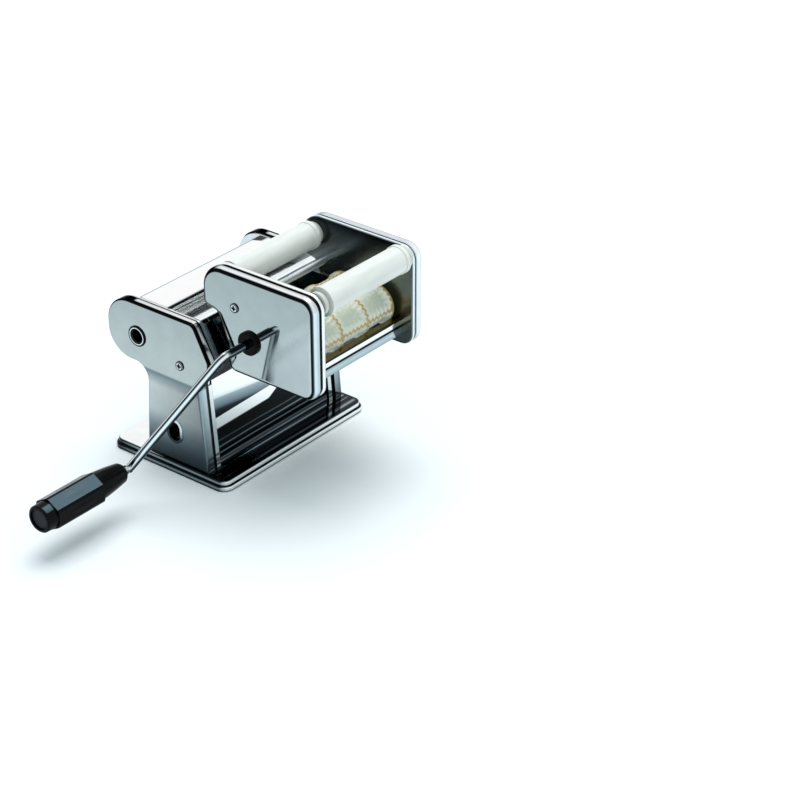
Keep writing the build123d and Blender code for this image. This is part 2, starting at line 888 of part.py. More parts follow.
def stripper(side):
    """Blade that peels the ravioli off one mould roller, side +1 for the rear one."""
    axis = crank_y if side > 0 else front_mould_y
    middle = (crank_y + front_mould_y) / 2
    top_y = middle + side * stripper_top_offset
    drop = math.sqrt((mould_radius + stripper_gap) ** 2 - (axis - top_y) ** 2)
    top_z = mould_axis_z - drop
    low_y = middle + side * stripper_low_offset
    face = polygon(
        [
            (top_y, top_z),
            (low_y, stripper_low),
            (low_y + side * stripper_thickness, stripper_low),
            (top_y + side * stripper_thickness, top_z - 1.6),
        ]
    )
    return slab(face, -inside_face, inside_face)


def slide_plate():
    """Plate on the attachment's back that drops into the machine's rails, with an ear each side."""
    high = slide_offset + slide_thickness
    plate = slant_slab(slide_low + 0.05, slide_high, slide_offset, high, -slide_half_width, slide_half_width)
    low_corner = slant_point(slide_low + 3, high - 0.1)
    high_corner = slant_point(slide_high - 2, high - 0.1)
    ear_face = polygon([low_corner, high_corner, (ear_reach, high_corner[1]), (ear_reach, low_corner[1])])
    ear = slab(ear_face, -inside_face, -inside_face + ear_thickness)
    return plate + ear + mirrored(ear)


# ---- crank ----
def crank_collar():
    """Black bush in the near casing that the crank's shaft turns in."""
    face = -casing_face
    flange = rod(face - collar_height, face, crank_y, mould_axis_z, collar_radius)
    flange = fillet(outer_edges(flange, face - collar_height, 0), 1.6)
    neck = rod(face, face + casing_wall + 0.4, crank_y, mould_axis_z, collar_neck_radius)
    return flange + neck - rod(face - 9, face + 9, crank_y, mould_axis_z, rod_radius + shaft_clearance)


def crank_rod():
    """Round bar with one bend: square tang, shaft and arm, with the handle's spindle set in its end."""
    shaft_start = -bearing_face + 0.8
    elbow = Vector(elbow_x, crank_y, mould_axis_z)
    hub = Vector(handle_x, handle_y, handle_z)
    arm_end = hub + (hub - elbow).normalized() * arm_end_past
    path = FilletPolyline((shaft_start, crank_y, mould_axis_z), elbow, arm_end, radius=elbow_radius)
    profile = Plane(origin=(shaft_start, crank_y, mould_axis_z), z_dir=(-1, 0, 0)) * Circle(rod_radius)
    bar = sweep(profile, path=path)
    half = tang_width / 2
    bar += block(
        (shaft_start - 0.5, crank_y - half, mould_axis_z - half),
        (shaft_start + tang_length, crank_y + half, mould_axis_z + half),
    )
    spindle_end = handle_inner_x() - grip_length + cap_recess + cap_thickness + spindle_short
    return bar + rod(spindle_end, handle_x, handle_y, handle_z, spindle_radius)


def handle_inner_x():
    """X of the grip's inner end."""
    return handle_x - ferrule_stand - ferrule_length - grip_gap


def crank_ferrule():
    """Small chrome washer between the arm and the grip."""
    high = handle_x - ferrule_stand
    washer = rod(high - ferrule_length, high, handle_y, handle_z, ferrule_radius)
    washer = fillet(outer_edges(washer, high - ferrule_length, 0), 0.8)
    return washer - rod(high - 9, high + 9, handle_y, handle_z, spindle_radius + press_clearance)


def handle_grip():
    """Black handle that swells towards its middle, with six raised flat panels."""
    start = handle_inner_x()
    end = start - grip_length
    side = [
        (start, grip_inner_radius),
        (start - 2.2, grip_shoulder_radius),
        (start - grip_length * 0.30, grip_middle_radius - 1.2),
        (start - grip_length * 0.56, grip_middle_radius),
        (start - grip_length * 0.82, grip_middle_radius - 0.6),
        (end + 1.2, grip_outer_radius),
    ]
    rim = (end, grip_outer_radius - 1.2)
    outline = [
        Line((start, 0), side[0]),
        Line(side[0], side[1]),
        Spline(*side[1:]),
        Line(side[-1], rim),
        Line(rim, (end, 0)),
        Line((end, 0), (start, 0)),
    ]
    body = revolve(make_face(Wire(outline)), Axis.X)
    panel_length = grip_panel_end - grip_panel_start
    flats = extrude(RegularPolygon(grip_panel_flat, grip_sides, major_radius=False), panel_length)
    flats &= extrude(Circle(grip_panel_corner), panel_length)
    flats = Pos(start - grip_panel_start, 0, 0) * Rot(0, -90, 0) * flats
    grip = body + flats
    grip -= rod(end - 1, end + cap_recess + cap_thickness, 0, 0, cap_radius)
    grip -= rod(end - 1, start + 1, 0, 0, spindle_radius + shaft_clearance)
    return Pos(0, handle_y, handle_z) * grip


def handle_end_cap():
    """Recessed plug in the grip's outer end."""
    end = handle_inner_x() - grip_length
    outer = end + cap_recess
    return rod(outer, outer + cap_thickness - cap_clearance, handle_y, handle_z, cap_radius - cap_clearance)


parts = {
    "base_plate": base_plate(),
    "base_screws": base_screws(),
    "rubber_feet": rubber_feet(),
    "near_side_cover": side_cover(True),
    "far_side_cover": side_cover(False),
    "near_frame_plate": frame_plate(True),
    "far_frame_plate": frame_plate(False),
    "clamp_hole_bush": clamp_hole_bush(),
    "socket_bush": socket_bush(),
    "top_cover": top_cover(),
    "mount_panel": mount_panel(),
    "front_panel": front_panel(),
    "fixed_roller": smooth_roller(fixed_roller_y, True),
    "movable_roller": smooth_roller(movable_roller_y, False),
    "fixed_roller_gear": roller_gear(fixed_roller_y, math.pi),
    "movable_roller_gear": roller_gear(movable_roller_y, math.pi / roller_gear_teeth),
    "movable_bearing_blocks": movable_bearing_blocks(),
    "fixed_roller_scraper": scraper(fixed_roller_y, 1),
    "movable_roller_scraper": scraper(movable_roller_y, -1),
    "tie_rods": tie_rods(),
    "cover_screws": cover_screws(),
    "regulator_knob": regulator_knob(),
    "regulator_dial": regulator_dial(),
    "near_rail": attachment_rail(True),
    "far_rail": attachment_rail(False),
    "near_casing": attachment_casing(True),
    "far_casing": attachment_casing(False),
    "near_bearing_plate": bearing_plate(True),
    "far_bearing_plate": bearing_plate(False),
    "near_end_plate": end_plate(True),
    "far_end_plate": end_plate(False),
    "casing_screws": casing_screws(),
    "attachment_rod": attachment_rod(),
    "rear_mould_roller": mould_roller(crank_y, math.pi / 4, True),
    "front_mould_roller": mould_roller(front_mould_y, math.pi / 4, False),
    "rear_mould_gear": mould_gear(crank_y, math.pi),
    "front_mould_gear": mould_gear(front_mould_y, math.pi / mould_gear_teeth),
    "front_guide_roller": guide_roller(front_guide_y, front_guide_z),
    "rear_guide_roller": guide_roller(rear_guide_y, rear_guide_z),
    "guide_pins": guide_pins(),
    "front_strip": front_strip(),
    "front_stripper": stripper(-1),
    "rear_stripper": stripper(1),
    "slide_plate": slide_plate(),
    "crank_collar": crank_collar(),
    "crank_rod": crank_rod(),
    "crank_ferrule": crank_ferrule(),
    "handle_grip": handle_grip(),
    "handle_end_cap": handle_end_cap(),
}

os.makedirs("parts", exist_ok=True)
for name, shape in parts.items():
    export_step(shape, "parts/" + name + ".step")
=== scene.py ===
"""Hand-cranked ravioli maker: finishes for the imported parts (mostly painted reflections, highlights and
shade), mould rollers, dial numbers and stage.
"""
import math

import bmesh
import bpy
from bpy.props import FloatProperty, FloatVectorProperty, IntProperty, PointerProperty
from mathutils import Matrix, Vector


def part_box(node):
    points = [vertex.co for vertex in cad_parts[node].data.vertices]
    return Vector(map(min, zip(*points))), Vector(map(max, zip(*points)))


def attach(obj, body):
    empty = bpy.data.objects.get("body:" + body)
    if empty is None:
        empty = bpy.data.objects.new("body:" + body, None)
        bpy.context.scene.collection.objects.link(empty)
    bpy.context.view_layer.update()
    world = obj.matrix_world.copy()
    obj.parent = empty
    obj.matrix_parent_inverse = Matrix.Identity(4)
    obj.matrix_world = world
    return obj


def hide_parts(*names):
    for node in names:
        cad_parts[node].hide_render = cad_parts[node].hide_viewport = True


bl_info = {
    "name": "Ravioli Maker with Crank",
    "version": (1, 0, 0),
    "blender": (4, 5, 0),
    "location": "View3D > Sidebar > Ravioli Maker",
    "description": "Finishes, mould rollers, dial numbers and stage of a hand-cranked ravioli maker",
    "category": "Object",
}

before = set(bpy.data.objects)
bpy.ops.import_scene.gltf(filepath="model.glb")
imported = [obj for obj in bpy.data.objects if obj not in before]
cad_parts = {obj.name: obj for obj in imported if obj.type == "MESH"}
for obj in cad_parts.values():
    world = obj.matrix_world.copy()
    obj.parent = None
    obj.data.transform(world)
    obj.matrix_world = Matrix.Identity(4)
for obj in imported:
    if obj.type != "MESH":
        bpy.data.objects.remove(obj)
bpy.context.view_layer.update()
MM = 0.001

# Axes that run along X, as (Y, Z) in millimetres.
FIXED_ROLLER_AXIS = (33.4, 122.0)
KNOB_AXIS = (3.6, 122.0)
COVER_SCREW_AXIS = (-16.7, 109.1)
CASING_SCREW_AXIS = (-66.4, 173.9)
REAR_MOULD_AXIS = (-82.3, 145.5)
FRONT_MOULD_AXIS = (-119.9, 145.5)
HANDLE_AXIS = (-17.6, 39.1)

# Places along X, in millimetres. The screw tops are measured out from the middle, to both sides.
COVER_SCREW_TOP = 94.4
CASING_SCREW_TOP = 75.5
CRANK_ELBOW = -108.5
CRANK_HUB = -160.5

# Ends of the mould rollers, in millimetres.
JOURNAL_RADIUS = 6.5
SOCKET_RADIUS = 3.97
SOCKET_DEPTH = 16.6

# The dial's numbers: the turn from the first to the last in degrees, and how far they stand out.
DIAL_SWEEP = 240
NUMBER_RELIEF = 0.04

# From the middle of the floor to its edges, in metres.
FLOOR_REACH = 6.0


def tone(code):
    """Linear colour of a #RRGGBB code."""
    parts = [int(code[i : i + 2], 16) / 255 for i in (1, 3, 5)]
    return tuple(p / 12.92 if p <= 0.04045 else ((p + 0.055) / 1.055) ** 2.4 for p in parts)


def colour_setting(name, code, description):
    """Colour property with its default given as a #RRGGBB code."""
    return FloatVectorProperty(
        name=name, description=description, default=tone(code), size=3, min=0, max=1, subtype="COLOR"
    )


def length_setting(name, millimetres, description):
    """Length property with its default given in millimetres."""
    return FloatProperty(name=name, description=description, default=millimetres * MM, min=0, unit="LENGTH")


def share_setting(name, default, description):
    """Property for a share between 0 and 1."""
    return FloatProperty(name=name, description=description, default=default, min=0, max=1, subtype="FACTOR")


def strength_setting(name, default, description):
    """Property for the strength of a light."""
    return FloatProperty(name=name, description=description, default=default, min=0)


def angle_setting(name, degrees, description):
    """Angle property with its default given in degrees."""
    return FloatProperty(name=name, description=description, default=math.radians(degrees), subtype="ANGLE")


class Paint:
    """One material, built out of bands of colour that follow the piece's own coordinates in millimetres; most
    such bands paint reflections, highlights and shade.
    """

    def __init__(self, name):
        self.material = bpy.data.materials.new(name)
        self.material.use_nodes = True
        self.tree = self.material.node_tree
        self.shader = self.tree.nodes["Principled BSDF"]
        self.texture = self.node("ShaderNodeTexCoord")
        scaled = self.node("ShaderNodeVectorMath", operation="SCALE")
        self.join(self.texture.outputs["Object"], scaled.inputs[0])
        scaled.inputs["Scale"].default_value = 1 / MM
        self.place = scaled.outputs[0]

    def node(self, kind, **values):
        """A new node with some of its values set."""
        made = self.tree.nodes.new(kind)
        for key, value in values.items():
            setattr(made, key, value)
        return made

    def join(self, source, target):
        """Link an output, or set a plain value, on an input."""
        if isinstance(source, bpy.types.NodeSocket):
            self.tree.links.new(source, target)
        else:
            target.default_value = source

    def maths(self, operation, first, second=0.0):
        """Result of one sum."""
        made = self.node("ShaderNodeMath", operation=operation)
        self.join(first, made.inputs[0])
        self.join(second, made.inputs[1])
        return made.outputs[0]

    def along(self, x=0.0, y=0.0, z=0.0):
        """Distance along a direction."""
        made = self.node("ShaderNodeVectorMath", operation="DOT_PRODUCT")
        self.join(self.place, made.inputs[0])
        made.inputs[1].default_value = (x, y, z)
        return made.outputs["Value"]

    def spread(self):
        """Distance to either side of the middle."""
        return self.maths("ABSOLUTE", self.along(x=1))

    def facing(self, x=0.0, y=0.0, z=0.0):
        """How far the surface faces a direction, from -1 to 1."""
        made = self.node("ShaderNodeVectorMath", operation="DOT_PRODUCT")
        self.join(self.texture.outputs["Normal"], made.inputs[0])
        made.inputs[1].default_value = (x, y, z)
        return made.outputs["Value"]

    def from_axis(self, axis):
        """Distance from a line that runs along X through (Y, Z)."""
        moved = self.node("ShaderNodeVectorMath", operation="SUBTRACT")
        self.join(self.place, moved.inputs[0])
        moved.inputs[1].default_value = (0, *axis)
        flat = self.node("ShaderNodeVectorMath", operation="MULTIPLY")
        self.join(moved.outputs[0], flat.inputs[0])
        flat.inputs[1].default_value = (0, 1, 1)
        length = self.node("ShaderNodeVectorMath", operation="LENGTH")
        self.join(flat.outputs[0], length.inputs[0])
        return length.outputs["Value"]

    def noise(self, size, detail=2.0, stretch=(1, 1, 1)):
        """Soft noise around 0.5 with features of about this size, drawn out along the larger stretches."""
        scaled = self.node("ShaderNodeVectorMath", operation="DIVIDE")
        self.join(self.place, scaled.inputs[0])
        scaled.inputs[1].default_value = tuple(size * s for s in stretch)
        made = self.node("ShaderNodeTexNoise")
        self.join(scaled.outputs[0], made.inputs["Vector"])
        made.inputs["Scale"].default_value = 1.0
        made.inputs["Detail"].default_value = detail
        return made.outputs[0]

    def waver(self, value, amount, size, stretch=(1, 1, 1)):
        """The value, made to wander by this much."""
        swing = self.maths("SUBTRACT", self.noise(size, 1.0, stretch), 0.5)
        return self.maths("ADD", value, self.maths("MULTIPLY", swing, 2 * amount))

    def ease(self, value, low, high):
        """0 at low, 1 at high, and straight between."""
        made = self.node("ShaderNodeMapRange", clamp=True)
        self.join(value, made.inputs["Value"])
        made.inputs["From Min"].default_value = low
        made.inputs["From Max"].default_value = high
        return made.outputs[0]

    def both(self, first, second):
        """Product of two masks."""
        return self.maths("MULTIPLY", first, second)

    def bands(self, value, *stops):
        """Colour read from (value, #RRGGBB) stops. Where the value is a distance, it is in millimetres."""
        low, high = stops[0][0], stops[-1][0]
        ramp = self.node("ShaderNodeValToRGB")
        self.join(self.ease(value, low, high), ramp.inputs[0])
        elements = ramp.color_ramp.elements
        while len(elements) < len(stops):
            elements.new(0.5)
        for element, (at, _) in zip(elements, stops):
            element.position = (at - low) / (high - low)
        for element, (_, code) in zip(elements, stops):
            element.color = (*tone(code), 1)
        return ramp.outputs[0]

    def mix(self, amount, first, second, blend="MIX"):
        """Second colour over the first, by this amount."""
        made = self.node("ShaderNodeMix", data_type="RGBA", blend_type=blend)
        self.join(amount, made.inputs[0])
        for source, target in ((first, made.inputs[6]), (second, made.inputs[7])):
            self.join((*tone(source), 1) if isinstance(source, str) else source, target)
        return made.outputs[2]

    def finish(
        self,
        colour,
        rough,
        metal=0.0,
        shine=0.5,
        edge=1.0,
        smudge=0.04,
        haze=None,
        dent=0.0,
        dent_size=30.0,
        grain=0.0,
        grain_size=0.4,
    ):
        """Set the shader's colour, gloss and surface, and return the material."""
        self.join(colour, self.shader.inputs["Base Color"])
        self.shader.inputs["Metallic"].default_value = metal
        self.shader.inputs["Specular IOR Level"].default_value = shine
        self.shader.inputs["Specular Tint"].default_value = (edge, edge, edge, 1)
        cloudy = self.node("ShaderNodeMapRange", clamp=True)
        self.join(self.noise(9.0, 4.0), cloudy.inputs["Value"])
        cloudy.inputs["From Min"].default_value = 0.3
        cloudy.inputs["From Max"].default_value = 0.7
        cloudy.inputs["To Min"].default_value = rough
        cloudy.inputs["To Max"].default_value = rough + smudge
        roughness = cloudy.outputs[0] if haze is None else self.maths("ADD", cloudy.outputs[0], haze)
        self.join(roughness, self.shader.inputs["Roughness"])
        normal = None
        for depth, size in ((dent, dent_size), (grain, grain_size)):
            if depth == 0:
                continue
            bump = self.node("ShaderNodeBump")
            self.join(self.noise(size, 2.0), bump.inputs["Height"])
            bump.inputs["Strength"].default_value = 1.0
            bump.inputs["Distance"].default_value = depth * MM
            if normal is not None:
                self.join(normal, bump.inputs["Normal"])
            normal = bump.outputs[0]
        if normal is not None:
            self.join(normal, self.shader.inputs["Normal"])
        return self.material


def dress(material, *nodes):
    """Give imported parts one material."""
    for node in nodes:
        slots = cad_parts[node].data.materials
        slots.clear()
        slots.append(material)


def grazed(paint, colour, amount):
    """Faint lighter and darker clouds over a colour, as handled metal has."""
    cloud = paint.bands(paint.noise(14.0, 3.0), (0.3, "#E2E6E8"), (0.7, "#FFFFFF"))
    return paint.mix(amount, colour, cloud, "MULTIPLY")


def pressed_sheet(metal, wave_share=1.0, smudge_share=1.0):
    """Finish values of chromed sheet, with a share of its usual waves and smudges."""
    return {
        "metal": 1.0,
        "smudge": smudge_share * metal.smudge,
        "dent": wave_share * metal.ripple / MM,
        "dent_size": 34.0,
    }


def new_piece(name, mesh, material, body, replaced=()):
    """Make an object of a finished bmesh, and hang it on its body."""
    data = bpy.data.meshes.new(name)
    mesh.to_mesh(data)
    mesh.free()
    piece = bpy.data.objects.new(name, data)
    bpy.context.scene.collection.objects.link(piece)
    data.materials.append(material)
    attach(piece, body)
    if replaced:
        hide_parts(*replaced)
    return piece


class MetalSettings(bpy.types.PropertyGroup):
    """Polish of the pressed and turned metal."""

    polish: share_setting("Polish", 0.05, "Roughness of the chromed sheet")
    smudge: share_setting("Smudges", 0.05, "Extra roughness where it was handled")
    ripple: length_setting("Ripple", 0.02, "Depth of the faint waves in the sheet")
    steel: colour_setting("Steel", "#B9C2C6", "Colour of plain turned steel")
    nylon: colour_setting("Nylon", "#101214", "Colour of the black plates")


class MouldSettings(bpy.types.PropertyGroup):
    """Sizes and colours of the two mould rollers."""

    radius: length_setting("Radius", 18.65, "Radius over the ridges")
    half_length: length_setting("Half length", 53.0, "From the middle to one end of the drum")
    columns: IntProperty(name="Columns", description="Pockets side by side", default=3, min=1)
    rows: IntProperty(name="Rows", description="Pockets round the roller", default=4, min=2)
    pitch: length_setting("Pitch", 34.5, "Between the ridges that run round")
    ridge: length_setting("Ridge width", 2.2, "Width of a ridge")
    depth: length_setting("Pocket depth", 2.6, "Depth of a pocket under the ridges")
    slope: length_setting("Slope", 8.0, "From a ridge to the floor of its pocket")
    tooth: length_setting("Tooth", 1.2, "How far a ridge swings from side to side")
    tooth_length: length_setting("Tooth length", 5.2, "Length of one swing")
    cell: length_setting("Cell", 0.62, "Size of the mesh faces")
    pocket: colour_setting("Pocket", "#D5D9C6", "Colour of the pockets")
    # The ridge colour is a painted reflection of the dough on the ridges.
    ridge_reflection: colour_setting("Ridge", "#A88C4A", "Colour of the ridges")


class HandleSettings(bpy.types.PropertyGroup):
    """Colours of the handle."""

    black: colour_setting("Black", "#08090B", "Colour of the grip")
    # Panel: a painted reflection of a lamp on the grip's upper facet.
    panel: colour_setting("Panel", "#5E6F77", "Colour of the grip's upper panel")
    cap: colour_setting("End cap", "#23282D", "Colour of the recessed cap")
    gloss: share_setting("Gloss", 0.12, "Roughness of the grip")


class DialSettings(bpy.types.PropertyGroup):
    """Numbers on the dial behind the knob."""

    count: IntProperty(name="Numbers", description="How many thickness settings", default=7, min=2)
    height: length_setting("Height", 2.9, "Height of a number")
    radius: length_setting("Circle", 17.5, "Radius of the circle that they stand on")
    ink: colour_setting("Ink", "#14171A", "Colour of the numbers")


class StageSettings(bpy.types.PropertyGroup):
    """Floor, light and camera."""

    floor: colour_setting("Floor", "#F7F8F9", "Colour of the floor")
    lift: strength_setting("Floor lift", 0.06, "Light that the floor gives off by itself")
    sky: strength_setting("Sky", 0.78, "Strength of the light from all round")
    sky_colour: colour_setting("Sky colour", "#D5E8EE", "Colour of the light from all round")
    key: strength_setting("Key lamp", 1.75, "Strength of the soft lamp")
    key_width: angle_setting("Key width", 42, "Angle that the soft lamp fills")
    key_direction: FloatVectorProperty(
        name="Key direction",
        description="Direction towards the soft lamp",
        default=(0.25, 0.1, 0.96),
        subtype="XYZ",
    )
    focal_length: FloatProperty(
        name="Focal length", description="Focal length of the camera in millimetres", default=107.66, min=1
    )
    camera_place: FloatVectorProperty(
        name="Camera",
        description="Place of the camera",
        default=(-1.4028, -1.30145, 1.1062),
        subtype="XYZ",
        unit="LENGTH",
    )
    tilt: angle_setting("Tilt", 29.47, "Angle down from the horizon")
    heading: angle_setting("Heading", -51.54, "Turn about the vertical")


class RAVIOLI_OT_body(bpy.types.Operator):
    """Finish the base, the side covers and the sheets between them"""

    bl_idname = "ravioli.body"
    bl_label = "Body"

    def execute(self, context):
        metal = context.scene.ravioli_metal
        sheet = pressed_sheet(metal)

        paint = Paint("cover_chrome")
        height = paint.waver(paint.along(z=1), 1.2, 60.0)
        # Face: painted reflections by height, darker towards the base as painted shade, with a darker painted
        # reflection band near 90 mm.
        face = paint.bands(
            height,
            (9.5, "#303A40"),
            (22, "#4D5B63"),
            (38, "#7C8E97"),
            (55, "#B8C6CC"),
            (80, "#C6D3D7"),
            (88, "#98AAB1"),
            (92.5, "#748A91"),
            (94.5, "#B8C7CB"),
            (120, "#B4C3C7"),
            (154, "#A8B8BD"),
        )
        face = paint.mix(1.0, face, "#FFF6F0", "MULTIPLY")
        # Painted shade over the lower front of the face.
        low = paint.ease(height, 95, 85)
        frontward = paint.ease(paint.along(y=1), 22, -40)
        face = paint.mix(paint.both(paint.both(low, frontward), 0.55), face, "#27323A")
        width = paint.spread()
        # Rims: painted reflections in black and white bands across the rolled edge.
        dark_edge = paint.bands(
            width,
            (83.5, "#0A0C0E"),
            (84.7, "#0A0C0E"),
            (85.2, "#E9EEF0"),
            (88.6, "#F8FAFA"),
            (89.2, "#7C888E"),
            (89.6, "#0A0C0E"),
            (92.6, "#0A0C0E"),
            (92.85, "#39444A"),
        )
        pale_edge = paint.bands(
            width,
            (83.5, "#5C6A71"),
            (84.4, "#C9D5D9"),
            (88.5, "#B4C4CA"),
            (91.8, "#93A5AC"),
            (92.8, "#5E6E76"),
        )
        # Front edges of the legs: the pale painted reflection, with painted shade towards the foot.
        leg_front = paint.both(paint.ease(paint.facing(y=-1), 0.2, 0.7), paint.ease(paint.along(z=1), 98, 92))
        foot_shade = paint.ease(paint.along(z=1), 52, 14)
        pale_edge = paint.mix(paint.both(foot_shade, 0.72), pale_edge, "#1E262B")
        edge = paint.mix(leg_front, dark_edge, pale_edge)
        # Painted reflection: the rim black along the back arc.
        back = paint.both(paint.ease(paint.along(y=1), 36.5, 39.5), paint.ease(paint.along(z=1), 96, 106))
        edge = paint.mix(back, edge, "#0C0F11")
        colour = paint.mix(paint.ease(width, 92.7, 92.92), edge, face)
        material = paint.finish(grazed(paint, colour, 0.35), metal.polish + 0.05, edge=0.45, **sheet)
        dress(material, "near_side_cover", "far_side_cover")

        # Frame plates: dark steel, painted darker low down as shade in the groove beside the covers, lighter
        # near the top.
        paint = Paint("frame_steel")
        height = paint.along(z=1)
        colour = paint.bands(height, (0, "#0B0D0F"), (60, "#14181B"), (108, "#3A4145"), (118, "#D5DBDD"))
        material = paint.finish(colour, 0.25, metal=1.0, smudge=0.15, grain=0.01, grain_size=0.8)
        dress(material, "near_frame_plate", "far_frame_plate")

        paint = Paint("base_chrome")
        height = paint.along(z=1)
        # Painted reflections: bands of light and dark up the base's front and side rims.
        front_rim = paint.bands(
            height,
            (0, "#1A2024"),
            (0.9, "#303A3F"),
            (1.5, "#DDE6E9"),
            (4.0, "#F2F6F7"),
            (4.7, "#2A3237"),
            (5.3, "#12171A"),
            (5.9, "#D5DFE2"),
            (8.2, "#F4F8F9"),
            (9.0, "#7C8B92"),
            (9.5, "#2A3237"),
        )
        side_rim = paint.bands(
            height,
            (0, "#0F1315"),
            (1.2, "#161B1E"),
            (2.0, "#5F6D74"),
            (3.4, "#8A989F"),
            (4.2, "#14191C"),
            (5.6, "#0E1214"),
            (6.4, "#7C8B92"),
            (7.6, "#98A7AD"),
            (8.3, "#20282D"),
            (9.5, "#0B0E10"),
        )
        # Painted shade: the side rims dark towards the back.
        side_rim = paint.mix(paint.ease(paint.along(y=1), 38, 62), side_rim, "#0D1012")
        rim = paint.mix(paint.ease(paint.facing(y=-1), 0.3, 0.8), side_rim, front_rim)
        # Painted reflections in bands across the top, from the front edge back to the pale top behind the
        # front sheet.
        depth = paint.waver(paint.along(y=1), 1.0, 40.0, (3, 1, 1))
        top = paint.bands(
            depth,
            (-69, "#3C474D"),
            (-66.5, "#101417"),
            (-62.5, "#0D1113"),
            (-60.5, "#8C9CA4"),
            (-58.8, "#6A7A82"),
            (-57.5, "#0F1417"),
            (-53.0, "#0E1214"),
            (-51.8, "#7C8C94"),
            (-50.6, "#11161A"),
            (-47.5, "#0F1315"),
            (-46.2, "#B4C1C7"),
            (-45.0, "#15191C"),
            (-43, "#A4B0B5"),
            (-34, "#E9EEF0"),
            (70, "#FAFCFC"),
        )
        # Painted shade on the top beside the side covers.
        beside = paint.both(paint.ease(paint.spread(), 90, 93), paint.ease(depth, 34, 6))
        top = paint.mix(beside, top, "#12171A")
        colour = paint.mix(paint.ease(height, 9.0, 9.4), rim, top)
        dress(paint.finish(grazed(paint, colour, 0.3), metal.polish + 0.02, **sheet), "base_plate")

        paint = Paint("top_sheet_chrome")
        depth = paint.along(y=1)
        # Painted shade: a black line at the edge of the roller opening; behind it, painted reflections in
        # bands.
        colour = paint.bands(
            depth,
            (5.9, "#07090A"),
            (7.2, "#0A0C0D"),
            (7.5, "#AEB8BC"),
            (8.6, "#F0F3F4"),
            (11.0, "#FBFCFC"),
            (38.6, "#FCFDFD"),
            (39.3, "#C3CCCF"),
            (40.2, "#9AA6AB"),
            (40.8, "#D5DCDF"),
            (70.0, "#B4C0C5"),
        )
        # Painted highlight along the lip of the opening.
        lip = paint.both(paint.ease(depth, 7.5, 7.2), paint.ease(paint.along(z=1), 151.4, 150.8))
        colour = paint.mix(lip, colour, "#F4F6F7")
        # Painted reflection: the far back corner dark.
        far_end = paint.maths("ADD", paint.along(x=1), paint.maths("MULTIPLY", depth, 0.5))
        corner = paint.both(paint.ease(far_end, 86, 88), paint.ease(depth, 30, 33))
        colour = paint.mix(corner, colour, "#0B0E10")
        dress(paint.finish(grazed(paint, colour, 0.12), metal.polish + 0.03, **sheet), "top_cover")

        paint = Paint("mount_sheet_gloss")
        # Painted reflections: near black with thin pale lines; painted highlights along the top edge and on
        # the faces turned back.
        across = paint.waver(paint.along(x=1), 0.25, 60.0)
        colour = paint.bands(
            across,
            (-79.5, "#5E6E76"),
            (-78.6, "#0A0C0E"),
            (-72.6, "#0C0F11"),
            (-72.0, "#7F939D"),
            (-71.4, "#0E1113"),
            (-60.0, "#0A0C0E"),
            (60.0, "#0D1012"),
            (79.5, "#12161A"),
        )
        colour = paint.mix(paint.ease(paint.along(z=1), 152.4, 153.0), colour, "#DDE4E6")
        colour = paint.mix(paint.ease(paint.facing(y=1), 0.2, 0.6), colour, "#F1F4F5")
        dress(paint.finish(colour, 0.3, metal=1.0, smudge=0.06), "mount_panel")

        paint = Paint("front_sheet_chrome")
        height = paint.along(z=1)
        # Painted reflections in bands by height: white above, black below with thin pale wavy lines.
        tilted = paint.along(x=0.12, z=1.0)
        wavy = paint.waver(height, 1.1, 24.0, (3, 1, 1))
        upper = paint.bands(
            tilted,
            (40.0, "#0B0E10"),
            (49.0, "#12161A"),
            (54.0, "#262E33"),
            (57.0, "#6E7F87"),
            (64.5, "#9DAEB4"),
            (66.0, "#E4EAEC"),
            (69.0, "#FAFCFC"),
            (92.0, "#FDFEFE"),
        )
        lower = paint.bands(
            wavy,
            (5.0, "#6F7F87"),
            (8.0, "#12171A"),
            (11.0, "#0E1214"),
            (13.0, "#A4B4BB"),
            (15.8, "#7D8E96"),
            (17.0, "#0F1315"),
            (20.2, "#0E1214"),
            (21.2, "#8A9BA3"),
            (22.4, "#101417"),
            (26.0, "#0D1113"),
            (27.0, "#73848C"),
            (28.2, "#0D1113"),
            (32.0, "#0C0F11"),
            (33.0, "#4E5D65"),
            (34.0, "#0B0E10"),
        )
        colour = paint.mix(paint.ease(height, 37.0, 38.0), lower, upper)
        # Painted reflection: a white bar across the lower sheet.
        bar_top = paint.ease(paint.along(x=-0.027, z=1), 57.7, 56.9)
        bar = paint.both(paint.ease(paint.along(x=-0.014, z=1), 45.5, 46.5), bar_top)
        bar = paint.both(bar, paint.ease(paint.along(x=1, z=-2), -95.0, -97.0))
        colour = paint.mix(bar, colour, "#FAFCFC")
        width = paint.spread()
        # Hems: a black line of painted shade at the fold, then a pale painted reflection.
        hem = paint.bands(height, (9.5, "#C3D0D4"), (50, "#DDE5E8"), (92, "#F0F4F5"))
        colour = paint.mix(paint.ease(width, 73.6, 73.9), colour, "#0B0E10")
        colour = paint.mix(paint.ease(width, 75.0, 75.3), colour, hem)
        dress(paint.finish(grazed(paint, colour, 0.08), metal.polish, **sheet), "front_panel")

        paint = Paint("foot_rubber")
        colour = paint.bands(paint.noise(1.5, 4.0), (0.3, "#121314"), (0.7, "#1C1D1F"))
        dress(paint.finish(colour, 0.65, smudge=0.15, grain=0.06, grain_size=0.5), "rubber_feet")
        return {"FINISHED"}


